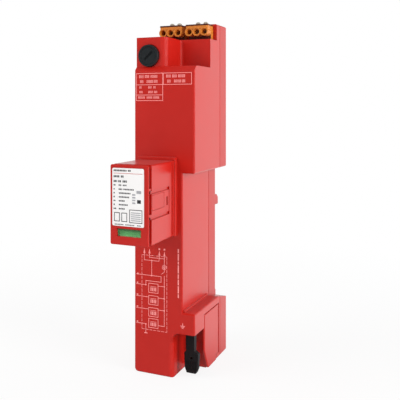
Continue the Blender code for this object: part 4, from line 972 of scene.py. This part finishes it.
@dataclass
class PrintSheet:
    """Thin layer of ink on a plane that faces the front, drawn with straight strokes.

    Strokes are rows of start (x, z), end (x, z) and the widths at both ends, all in
    millimetres from the sheet's corner. Each becomes a closed plate.
    """

    corner: Point
    thickness: float = 0.03 * MM
    sunk: float = 0.1  # share of the thickness that lies inside the surface
    layer_step: float = 0.07  # how much thicker each stroke is than the one before it
    layers: int = 12  # strokes until the thickness starts again
    round_sides: int = 16
    dot_width: float = 1.1  # greatest width of a dot over its height
    arrow_tip: float = 0.02

    def __post_init__(self) -> None:
        """Starts with no strokes."""
        self._strokes: list[np.ndarray] = []

    def line(self, *points: Spot, width: float = 0.35) -> None:
        """Open run of strokes through some points, with square ends.

        Args:
            points: the points in order.
            width: width of the line.
        """
        path = np.array(points, dtype=float)
        start, end = path[:-1], path[1:]
        reach = (end - start) / np.linalg.norm(end - start, axis=1)[:, None] * width / 2
        widths = np.full((len(start), 2), width)
        self._strokes.append(np.hstack([start - reach, end + reach, widths]))

    def box(self, low: Spot, high: Spot, width: float = 0.35) -> None:
        """Outline of a rectangle between its lower left and upper right corner."""
        self.line(low, (high[0], low[1]), high, (low[0], high[1]), low, width=width)

    def bar(self, low: Spot, high: Spot) -> None:
        """Filled rectangle between its lower left and upper right corner."""
        middle, tall = (low[1] + high[1]) / 2, high[1] - low[1]
        self._strokes.append(np.array([[low[0], middle, high[0], middle, tall, tall]]))

    def marks(
        self, first: float, last: float, z: float, height: float, mark: float, gap: float
    ) -> None:
        """Row of short upright bars with equal gaps, a blank stand-in for an entry.

        Args:
            first: where the row starts.
            last: where it ends.
            z: its foot.
            height: its height.
            mark: width of a bar.
            gap: room between two bars.
        """
        begins = np.arange(first, last - gap, mark + gap)
        ends = np.minimum(begins + mark, last)
        middle = np.full(len(begins), z + height / 2)
        tall = np.full(len(begins), height)
        self._strokes.append(np.column_stack([begins, middle, ends, middle, tall, tall]))

    def entries(self, left: float, rows: Rows, mark: float, gap: float) -> None:
        """Rows of marks.

        Args:
            left: what the spans are measured from.
            rows: foot, height and spans of each row.
            mark: width of a bar.
            gap: room between two bars.
        """
        for z, height, spans in rows:
            for first, last in spans:
                self.marks(left + first, left + last, z, height, mark, gap)

    def dot(self, x: float, z: float, size: float = 1.0) -> None:
        """Small hexagonal spot: two strokes that widen towards its middle.

        Args:
            x: its middle.
            z: its middle.
            size: its height.
        """
        half, wide = size / 2, size * self.dot_width
        self._strokes.append(
            np.array([[x, z - half, x, z, half, wide], [x, z + half, x, z, half, wide]])
        )

    def ring(self, x: float, z: float, radius: float, width: float = 0.3) -> None:
        """Circle drawn with short chords.

        Args:
            x: its middle.
            z: its middle.
            radius: radius of the line's middle.
            width: width of the line.
        """
        turn = np.linspace(0, 2 * np.pi, self.round_sides + 1)
        path = np.column_stack([x + radius * np.cos(turn), z + radius * np.sin(turn)])
        self.line(*map(tuple, path), width=width)

    def arrow(self, x: float, z: float, length: float, width: float) -> None:
        """Solid arrowhead that points up from its base."""
        self._strokes.append(np.array([[x, z, x, z + length, width, self.arrow_tip]]))

    def dashes(self, start: Spot, end: Spot, mark: float, gap: float, width: float) -> None:
        """Broken line: marks of one length with equal gaps.

        Args:
            start: where it starts.
            end: where it ends.
            mark: length of a mark.
            gap: room between two marks.
            width: width of the line.
        """
        first, last = np.array(start), np.array(end)
        length = np.linalg.norm(last - first)
        way = (last - first) / length
        begins = np.arange(0, length, mark + gap)
        ends = np.minimum(begins + mark, length)
        widths = np.full((len(begins), 2), width)
        self._strokes.append(
            np.hstack([first + begins[:, None] * way, first + ends[:, None] * way, widths])
        )

    def shape(self) -> Shape:
        """Plates of all the strokes.

        A stroke's four corners lie half a width to either side of its ends; the same four
        a thickness further forward close the plate. The layer grows by a few hundredths
        from stroke to stroke, so that strokes which cross don't lie in one plane.

        Returns:
            Points and faces of every plate.
        """
        strokes = np.vstack(self._strokes)
        count = np.arange(len(strokes))
        start, end = strokes[:, 0:2], strokes[:, 2:4]
        way = (end - start) / np.linalg.norm(end - start, axis=1)[:, None]
        side = np.column_stack([-way[:, 1], way[:, 0]]) / 2
        first, last = side * strokes[:, 4:5], side * strokes[:, 5:6]
        flat = np.stack([start - first, end - last, end + last, start + first], axis=1)
        layer = self.thickness * (1 + self.layer_step * (count % self.layers))
        heights = np.array([-self.sunk, 1.0])[None, :, None] * layer[:, None, None]
        points = np.empty((len(strokes), 2, 4, 3))
        points[..., 0] = self.corner[0] + flat[:, None, :, 0] * MM
        points[..., 1] = self.corner[1] - heights
        points[..., 2] = self.corner[2] + flat[:, None, :, 1] * MM
        plate = np.array(
            [[0, 1, 2, 3], [7, 6, 5, 4], [0, 4, 5, 1], [1, 5, 6, 2], [2, 6, 7, 3], [3, 7, 4, 0]]
        )
        faces = (count[:, None, None] * 8 + plate).reshape(-1, 4)
        return Shape(points.reshape(-1, 3), faces.tolist())


@dataclass
class FrontPrint:
    """Print on the main front: fields at the top, wiring diagram, side line and earth mark.

    Values without a unit are millimetres from the front's left side and its bottom.
    """

    front_depth: float = 46.5 * MM  # from the front face to the end of the front shell
    field_top: float = 204.5
    field_rows: Point = (196.8, 189.8, 186.0)
    field_x: tuple[float, float, float, float] = (1.5, 21.6, 22.1, 42.8)
    upper_entries: Rows = (
        (201.4, 2.0, ((2.2, 5.6), (6.6, 10.0), (11.0, 16.6))),
        (198.0, 2.0, ((3.0, 5.6), (8.0, 13.0), (13.8, 16.4))),
    )
    lower_entries: Rows = (
        (194.2, 1.6, ((2.4, 4.4), (9.2, 12.0), (13.2, 15.4))),
        (191.0, 1.6, ((2.4, 5.2), (9.2, 12.6), (13.6, 16.4))),
        (187.3, 1.6, ((1.4, 6.8), (8.0, 12.4), (13.2, 17.6))),
    )
    wire_left: float = 1.5  # where the wires come in
    branch_x: float = 8.8
    trunk_x: float = 13.3
    bend_x: float = 18.8
    bus_x: float = 22.8
    arrows: tuple[Point, ...] = (  # each: x, foot of its wire, base of its head
        (7.7, 77.3, 82.0),
        (11.6, 79.3, 82.0),
        (19.1, 80.8, 81.2),
        (22.9, 77.0, 81.0),
    )
    arrow_size: Spot = (3.2, 1.5)  # length and width of a head
    frame_x: Spot = (5.8, 24.7)
    frame_z: Spot = (80.7, 30.1)
    frame_dash: Point = (2.2, 0.7, 0.28)  # mark, gap and width
    ring_z: float = 73.5
    ring_radii: Spot = (1.5, 0.7)
    block_x: Spot = (11.0, 18.1)
    blocks: tuple[Point, ...] = (  # each: foot, height, where its wire meets the bus
        (55.5, 6.2, 60.5),
        (47.4, 6.0, 52.4),
        (39.3, 5.9, 44.3),
        (31.7, 6.1, 33.7),
    )
    block_inset: float = 1.4
    strip_x: float = 33.2
    strip_top: float = 86.9
    strip_half: float = 0.42
    strip_gap: float = 0.6
    strip_marks: tuple[float, ...] = (2.6, 4.6, 1.9, 5.4, 2.9, 3.8, 4.8, 2.4)
    earth_place: Spot = (36.4, 35.9)
    earth_bars: tuple[Spot, ...] = ((0.0, 1.5), (0.75, 1.0), (1.5, 0.45))  # drop, half length

    def build(self, shop: Workshop) -> None:
        """Draws the whole print as one piece of ink.

        Args:
            shop: makes the piece.
        """
        low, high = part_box("front_housing")
        sheet = PrintSheet((low[0], high[1] - self.front_depth, 0.0))
        self._fields(sheet)
        self._feeds(sheet)
        self._blocks(sheet)
        self._side_line(sheet)
        self._earth_mark(sheet)
        shop.piece("front_print", sheet.shape(), Palette.INK, Body.BASE)

    def _fields(self, sheet: PrintSheet) -> None:
        """Boxes under the fuse and the wiring recess, with plain marks for their entries.

        Args:
            sheet: what they are drawn on.
        """
        left, middle, second, right = self.field_x
        row, divider, low = self.field_rows
        sheet.box((left, row), (middle, self.field_top))
        sheet.box((second, row), (right, self.field_top))
        sheet.box((left, low), (middle, row))
        sheet.line((left, divider), (middle, divider))
        for start in (left, second):
            sheet.entries(start, self.upper_entries, 0.45, 0.45)
        sheet.entries(left, self.lower_entries, 0.48, 0.42)

    def _feeds(self, sheet: PrintSheet) -> None:
        """Upper half of the diagram: arrows, the dashed frame and the wires to the blocks.

        Args:
            sheet: what it is drawn on.
        """
        first, second, third, fourth = (arrow[0] for arrow in self.arrows)
        wire, branch, trunk, bus = self.wire_left, self.branch_x, self.trunk_x, self.bus_x
        for x, foot, base in self.arrows:
            sheet.arrow(x, base, *self.arrow_size)
            sheet.line((x, foot), (x, base + 0.4))
        sheet.line((12.9, 80.7), (third, 80.7))
        sheet.line((second, 79.3), (fourth, 79.3))
        sheet.line((first, 77.3), (self.bend_x, 77.3))
        sheet.line((third, 80.7), (self.bend_x, 77.3))
        sheet.line((trunk, 77.3), (trunk, 67.1))
        sheet.dot(trunk, 77.3)
        sheet.dot(trunk, 67.1)
        (left, right), (top, bottom) = self.frame_x, self.frame_z
        for x in (left, right):
            sheet.dashes((x, top), (x, bottom), *self.frame_dash)
        for z in (top, bottom):
            sheet.dashes((left, z), (right, z), *self.frame_dash)
        sheet.line((wire, 67.1), (20.4, 67.1), (20.4, 63.3), (branch, 63.3), (branch, 60.4))
        sheet.line((wire, 60.4), (branch, 60.4))
        sheet.dot(branch, 60.4)
        sheet.dot(2.6, 67.4, 1.2)
        for radius in self.ring_radii:
            sheet.ring(bus, self.ring_z, radius)
        sheet.line((bus, 79.3), (bus, 70.4))
        sheet.line((bus, 70.4), (20.9, 68.9))
        sheet.line((bus, 67.6), (bus, 33.7))

    def _blocks(self, sheet: PrintSheet) -> None:
        """Rest of the diagram: four blocks between the wires and the bus, earth, and tags.

        Args:
            sheet: what it is drawn on.
        """
        left, right = self.block_x
        first, last = left + self.block_inset, right - self.block_inset
        for z, height, tap in self.blocks:
            sheet.box((left, z), (right, z + height))
            sheet.line((right, tap), (self.bus_x, tap))
            sheet.marks(first, last, z + 1.1, 2.4, 0.7, 0.5)
            sheet.line((first, z + 4.1), (last, z + 4.1), width=0.25)
        for _, _, tap in self.blocks[:-1]:
            sheet.dot(self.bus_x, tap)
        wire, branch = self.wire_left, self.branch_x
        for z in (52.3, 44.1):
            sheet.line((wire, z), (left, z))
        sheet.line((wire, 33.8), (branch, 33.8), (branch, 27.6))
        sheet.dot(branch, 33.6)
        sheet.line((7.8, 27.6), (9.8, 27.6), width=0.5)
        for z in (60.9, 52.8, 44.6, 34.3):
            sheet.bar((1.8, z), (2.9, z + 0.8))
        for x, _, _ in self.arrows[2:]:
            sheet.bar((x - 0.6, 85.0), (x + 0.6, 86.1))

    def _side_line(self, sheet: PrintSheet) -> None:
        """Upright row of small marks near the column's right edge.

        Args:
            sheet: what it is drawn on.
        """
        lengths = np.array(self.strip_marks)
        drops = np.concatenate([[0.0], np.cumsum(lengths + self.strip_gap)[:-1]])
        left, right = self.strip_x - self.strip_half, self.strip_x + self.strip_half
        for top, length in zip(self.strip_top - drops, lengths):
            sheet.bar((left, top - length), (right, top))

    def _earth_mark(self, sheet: PrintSheet) -> None:
        """Plain earth sign on the tab over the clamp.

        Args:
            sheet: what it is drawn on.
        """
        x, z = self.earth_place
        sheet.line((x, z + 1.6), (x, z), width=0.4)
        for drop, half in self.earth_bars:
            sheet.line((x - half, z - drop), (x + half, z - drop), width=0.36)


@dataclass
class ModuleFace:
    """Label film with its plain print.

    Values without a unit are millimetres from the film's lower left corner.
    """

    film: float = 0.12 * MM
    ink: float = 0.02 * MM
    corner: float = 1.1 * MM
    left: float = 1.4 * MM  # label recess, from the module's sides, underside and top
    right: float = 2.9 * MM
    low: float = 11.7 * MM
    top: float = 2.0 * MM
    sink: float = 0.2 * MM
    clear: float = 0.15 * MM
    mark: Spot = (0.8, 0.28)  # width of a mark, and the gap to the next
    frame_line: float = 0.45
    entries: Rows = (
        (33.9, 1.1, ((1.0, 10.2), (11.2, 13.4))),
        (30.1, 1.3, ((1.0, 5.2), (6.2, 8.2))),
        (27.1, 1.3, ((1.0, 3.6), (4.4, 6.6), (7.4, 10.4))),
        (24.9, 0.9, ((1.0, 2.4), (4.6, 7.0), (7.6, 10.2))),
        (22.4, 0.9, ((1.0, 2.0), (4.6, 7.2), (8.0, 15.6))),
        (20.0, 0.9, ((1.0, 2.2), (4.8, 13.0))),
        (17.6, 0.9, ((1.0, 2.0), (4.8, 12.0))),
        (15.2, 0.9, ((1.0, 2.4), (4.8, 9.0))),
        (12.8, 0.9, ((1.0, 2.0), (4.8, 11.0))),
        (10.3, 0.9, ((1.0, 3.2), (4.8, 9.0))),
        (0.7, 0.6, ((1.8, 8.4), (9.4, 15.8), (17.6, 20.2))),
    )

    def build(self, shop: Workshop) -> None:
        """Makes the label and its print.

        Args:
            shop: makes the pieces.
        """
        low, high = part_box("module_front")
        x = (low[0] + self.left + self.clear, high[0] - self.right - self.clear)
        z = (low[2] + self.low + self.clear, high[2] - self.top - self.clear)
        back = low[1] + self.sink
        centre = np.array([sum(x) / 2, back, sum(z) / 2])
        size = (x[1] - x[0], self.film, z[1] - z[0])
        shape = pillow_plate(centre, size, self.corner, self.film / 2)
        shop.piece("label_film", shape, Palette.FILM, Body.MODULE)
        corner = (x[0], back - self.film, z[0])
        self._dark_print(shop, corner)
        self._grey_print(shop, corner)
        self._red_print(shop, corner)

    def _dark_print(self, shop: Workshop, corner: Point) -> None:
        """Rows of plain dark marks, three blank boxes and a bar.

        Args:
            shop: makes the piece.
            corner: lower left corner of the film's face.
        """
        sheet = PrintSheet(corner, thickness=self.ink)
        sheet.entries(0.0, self.entries, *self.mark)
        sheet.box((1.6, 3.0), (5.2, 8.2), width=self.frame_line)
        sheet.box((6.8, 3.0), (10.4, 8.2), width=self.frame_line)
        sheet.bar((17.6, 14.6), (20.2, 16.8))
        sheet.box((12.4, 2.6), (21.0, 10.4), width=self.frame_line)
        shop.piece("label_dark_print", sheet.shape(), Palette.DARK_INK, Body.MODULE)

    def _grey_print(self, shop: Workshop, corner: Point) -> None:
        """Light grey bars beside the rows and inside the large box.

        Args:
            shop: makes the piece.
            corner: lower left corner of the film's face.
        """
        sheet = PrintSheet(corner, thickness=self.ink)
        for z in (14.2, 15.9, 17.6, 19.3):
            sheet.bar((14.2, z), (16.4, z + 1.0))
        for z in np.arange(3.6, 9.6, 1.2):
            sheet.bar((13.3, z), (20.1, z + 0.6))
        sheet.bar((17.2, 20.6), (20.4, 22.4))
        shop.piece("label_grey_print", sheet.shape(), Palette.GREY_INK, Body.MODULE)

    def _red_print(self, shop: Workshop, corner: Point) -> None:
        """Thin ruled line under the first row.

        Args:
            shop: makes the piece.
            corner: lower left corner of the film's face.
        """
        sheet = PrintSheet(corner, thickness=self.ink)
        sheet.line((1.0, 32.7), (21.2, 32.7), width=0.3)
        shop.piece("label_red_print", sheet.shape(), Palette.RED_INK, Body.MODULE)


@dataclass
class CartridgeFuse:
    """Fuse link with a glazed tube and two bright end caps."""

    cap_length: float = 6.0 * MM
    dome: float = 0.5 * MM
    dome_steps: int = 6
    tube_inset: float = 0.4 * MM  # from the caps' outer faces
    tube_share: float = 0.93  # radius of the tube over that of the caps
    bore_share: float = 0.94  # radius inside the caps over that outside

    def build(self, shop: Workshop) -> None:
        """Makes the tube and both caps in the fuse's place.

        Args:
            shop: makes the pieces.
        """
        low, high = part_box("fuse_link")
        centre = np.array([(low[0] + high[0]) / 2, low[1], (low[2] + high[2]) / 2])
        radius = (high[0] - low[0]) / 2
        length = high[1] - low[1]
        wide = radius * self.tube_share
        ends = (self.tube_inset, length - self.tube_inset)
        tube = np.array([(ends[0], 0.0), (ends[0], wide), (ends[1], wide), (ends[1], 0.0)])
        shape = turned(centre, tube)
        shop.piece("fuse_tube", shape, Palette.CERAMIC, Body.FUSE, ("fuse_link",))
        turn = np.linspace(0, np.pi / 2, self.dome_steps)
        round_edge = np.column_stack(
            [self.dome * (1 - np.sin(turn)), radius - self.dome * (1 - np.cos(turn))]
        )[::-1]
        skirt = [(self.cap_length, radius), (self.cap_length, radius * self.bore_share)]
        front = np.vstack([[(0.0, 0.0)], round_edge, skirt])
        rear = np.column_stack([length - front[:, 0], front[:, 1]])
        for name, profile in (("fuse_end_front", front), ("fuse_end_rear", rear)):
            shop.piece(name, turned(centre, profile), Palette.TIN, Body.FUSE)


@dataclass
class FuseCap:
    """Screwdriver cap over the fuse: raised rim, sunk face and a short slanted slot."""

    rim: float = 1.5 * MM
    rim_edge: float = 0.4 * MM
    rim_slope: float = 0.35 * MM
    face_sink: float = 0.6 * MM
    slot_width: float = 1.5 * MM
    slot_length: float = 7.8 * MM
    slot_depth: float = 1.1 * MM
    slot_edge: float = 0.3 * MM
    slant: float = 42.0  # degrees from level
    skirt_radius: float = 5.7 * MM
    skirt_length: float = 8.0 * MM
    bore_radius: float = 3.45 * MM
    bore_start: float = 3.0 * MM
    middle: float = 0.02 * MM  # radius of the first and last ring, each closed by one face
    face_rings: int = 40
    sides: int = 120

    def build(self, shop: Workshop) -> None:
        """Makes the cap in the place of the frame's.

        Args:
            shop: makes the piece.
        """
        low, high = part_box("fuse_cap")
        centre = np.array([(low[0] + high[0]) / 2, low[1], (low[2] + high[2]) / 2])
        radius = (high[0] - low[0]) / 2
        rings = self._rings(radius, high[1] - low[1]) + centre
        shop.piece("fuse_cap_turned", skin(rings), Palette.CAP, Body.CAP, ("fuse_cap",))

    def _profile(self, radius: float, length: float) -> np.ndarray:
        """Half section from the middle of the face over the rim and the skirt into the bore.

        Args:
            radius: outer radius of the cap.
            length: from its front to the end of its skirt.

        Returns:
            Rows of (distance behind the front, radius).
        """
        head = length - self.skirt_length
        face = np.linspace(self.middle, radius - self.rim, self.face_rings)
        bend = np.linspace(0, np.pi / 2, EDGE_STEPS)
        edge = np.column_stack(
            [self.rim_edge * (1 - np.cos(bend)), radius - self.rim_edge * (1 - np.sin(bend))]
        )
        back = [
            (head, radius),
            (head, self.skirt_radius),
            (length, self.skirt_radius),
            (length, self.bore_radius),
            (self.bore_start, self.bore_radius),
            (self.bore_start, self.middle),
        ]
        return np.vstack(
            [
                np.column_stack([np.full(self.face_rings, self.face_sink), face]),
                [(0.0, radius - self.rim + self.rim_slope)],
                edge,
                back,
            ]
        )

    def _rings(self, radius: float, length: float) -> np.ndarray:
        """Rings of the turned half section, with the slot sunk into the face.

        The face is a field of depths: flat, and deeper inside the slot, whose depth is the
        product of one ramp across the slot and one along it.

        Args:
            radius: outer radius of the cap.
            length: from its front to the end of its skirt.

        Returns:
            Array of rings by points by 3, about the middle of the cap's front.
        """
        profile = self._profile(radius, length)
        turn = np.linspace(0, 2 * np.pi, self.sides, endpoint=False)
        x = profile[:, 1:2] * np.cos(turn)
        z = profile[:, 1:2] * np.sin(turn)
        slant = math.radians(self.slant)
        along = x * math.cos(slant) + z * math.sin(slant)
        across = z * math.cos(slant) - x * math.sin(slant)
        ramps = [
            np.clip((size / 2 - np.abs(way)) / self.slot_edge + 0.5, 0, 1)
            for size, way in ((self.slot_width, across), (self.slot_length, along))
        ]
        slot = self.slot_depth * ramps[0] * ramps[1]
        slot[self.face_rings :] = 0.0
        return np.stack([x, profile[:, 0:1] + slot, z], axis=-1)


@dataclass
class TerminalBandAndShadow:
    """Dark band round each wire terminal's top, and painted shadow on its foot under the entries.
    """

    band_height: float = 1.0 * MM
    band_drop: float = 0.05 * MM  # from the terminal's top
    band_corner: float = 0.5 * MM
    proud: float = 0.12 * MM
    wall: float = 0.4 * MM
    ring_proud: float = 0.7 * MM  # wire entries in front of the block
    ring_past: float = 0.4 * MM  # wire entries past the block's sides
    nose: float = 6.0 * MM  # from the block's front back to its foot
    foot_height: float = 5.0 * MM
    foot_thickness: float = 0.15 * MM
    foot_corner: float = 0.4 * MM
    foot_edge: float = 0.05 * MM
    foot_clear: float = 0.05 * MM

    def build(self, shop: Workshop) -> None:
        """Makes a band and a dark plate of painted shadow on the foot, for both terminals.

        Args:
            shop: makes the pieces.
        """
        for side in ("left", "right"):
            low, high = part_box(f"terminal_block_{side}")
            x = (low[0] + self.ring_past, high[0] - self.ring_past)
            front = low[1] + self.ring_proud
            band_top = high[2] - self.band_drop
            band = plan_band(
                (x[0] - self.proud, x[1] + self.proud),
                (front - self.proud, high[1] - self.wall),
                (band_top - self.band_height, band_top),
                self.wall,
                self.band_corner,
            )
            shop.piece(f"terminal_band_{side}", band, Palette.BROWN, Body.BASE)
            # Dark plate on the foot's front: painted shadow under the wire entries.
            y = front + self.nose + self.foot_clear
            z = low[2] + self.foot_height / 2 + self.foot_clear
            size = (x[1] - x[0], self.foot_thickness, self.foot_height)
            centre = np.array([sum(x) / 2, y, z])
            foot = pillow_plate(centre, size, self.foot_corner, self.foot_edge)
            shop.piece(f"terminal_foot_painted_shadow_{side}", foot, Palette.BROWN, Body.BASE)


@dataclass
class SideSlots:
    """Floors of the slots above and below both release buttons, just inside the case."""

    depth: float = 1.0 * MM
    slot: float = 2.0 * MM
    reach: Spot = (3.0 * MM, 27.6 * MM)  # both ends, behind the button's front
    thickness: float = 0.1 * MM
    clear: float = 0.1 * MM
    corner: float = 0.3 * MM

    def build(self, shop: Workshop) -> None:
        """Makes two floors on each side.

        Args:
            shop: makes the pieces.
        """
        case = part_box("module_case")
        for side, outer, inward in (("left", 0, 1), ("right", 1, -1)):
            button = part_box(f"release_button_{side}")
            y = tuple(button[0][1] + end for end in self.reach)
            size = (self.thickness, y[1] - y[0], self.slot - self.clear)
            for level, z in (
                ("lower", button[0][2] - self.slot / 2),
                ("upper", button[1][2] + self.slot / 2),
            ):
                centre = np.array([case[outer][0] + inward * self.depth, sum(y) / 2, z])
                plate = side_plate(centre, size, self.corner)
                name = f"slot_floor_{side}_{level}"
                shop.piece(name, plate, Palette.RED, Body.MODULE)


@dataclass
class ButtonMarkShade:
    """Dark plate on the floor of the finger mark in both release buttons: painted shade in the
    recess.
    """

    depth: float = 1.2 * MM
    width: float = 1.6 * MM
    height: float = 5.6 * MM
    set_back: float = 24.8 * MM  # from the button's front to the mark's middle
    thickness: float = 0.1 * MM
    clear: float = 0.02 * MM
    corner: float = 0.3 * MM

    def build(self, shop: Workshop) -> None:
        """Makes a dark plate of painted shade in the bottom of both marks.

        Args:
            shop: makes the pieces.
        """
        size = (self.thickness, self.width - self.clear, self.height - self.clear)
        for side, outer, inward, body in (
            ("left", 0, 1, Body.BUTTON_LEFT),
            ("right", 1, -1, Body.BUTTON_RIGHT),
        ):
            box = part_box(f"release_button_{side}")
            x = box[outer][0] + inward * (self.depth - self.clear)
            centre = np.array([x, box[0][1] + self.set_back, (box[0][2] + box[1][2]) / 2])
            plate = side_plate(centre, size, self.corner)
            # Black plate on the mark's red floor: painted shade in the recess.
            shop.piece(f"button_mark_painted_shade_{side}", plate, Palette.BLACK, body)


def numbered(name: str) -> tuple[str, ...]:
    """Names of the four nodes of a kind."""
    return tuple(f"{name}_{number}" for number in range(1, 5))


class Dressing:
    """Finish of every CAD node that keeps its own shape."""

    NODES = (
        (
            Palette.RED,
            (
                "front_housing",
                "earth_flap",
                "module_case",
                "module_front",
                "release_button_left",
                "release_button_right",
                "status_backing",
            ),
        ),
        (Palette.RED_BASE, ("rear_base",)),
        (Palette.BLACK, ("lock_slider", "fuse_holder")),
        (Palette.ORANGE, ("terminal_block_left", "terminal_block_right")),
        (Palette.GREY, numbered("terminal_pusher")),
        (Palette.GREEN, ("status_flag",)),
        (Palette.PANE, ("status_window",)),
        (Palette.RESIN, numbered("arrester_cartridge")),
        (Palette.EPOXY, ("module_arrester",)),
        (
            Palette.TIN,
            (
                *numbered("busbar_claw"),
                "earth_bar",
                "earth_lead",
                "fuse_contact",
                "terminal_contact_left",
                "terminal_contact_right",
                "module_blade_line",
                "module_blade_earth",
                "module_socket_line",
                "module_socket_earth",
            ),
        ),
        (Palette.ZINC, (*numbered("housing_screw"), "clamp_cage", "clamp_screw")),
    )

    def build(self, shop: Workshop) -> None:
        """Dresses the nodes.

        Args:
            shop: gives the finishes.
        """
        for finish, nodes in self.NODES:
            shop.dress(finish, *nodes)


def main() -> None:
    """Builds the studio, the finishes and the pieces in order."""
    logging.basicConfig(level=logging.INFO, format="%(message)s")
    palette = Palette()
    shop = Workshop(palette)
    Studio().build(palette)
    for assembly in (
        Dressing(),
        FrontPrint(),
        ModuleFace(),
        CartridgeFuse(),
        FuseCap(),
        TerminalBandAndShadow(),
        SideSlots(),
        ButtonMarkShade(),
    ):
        assembly.build(shop)
        LOG.info("%s built", type(assembly).__name__)


if __name__ == "__main__":
    main()
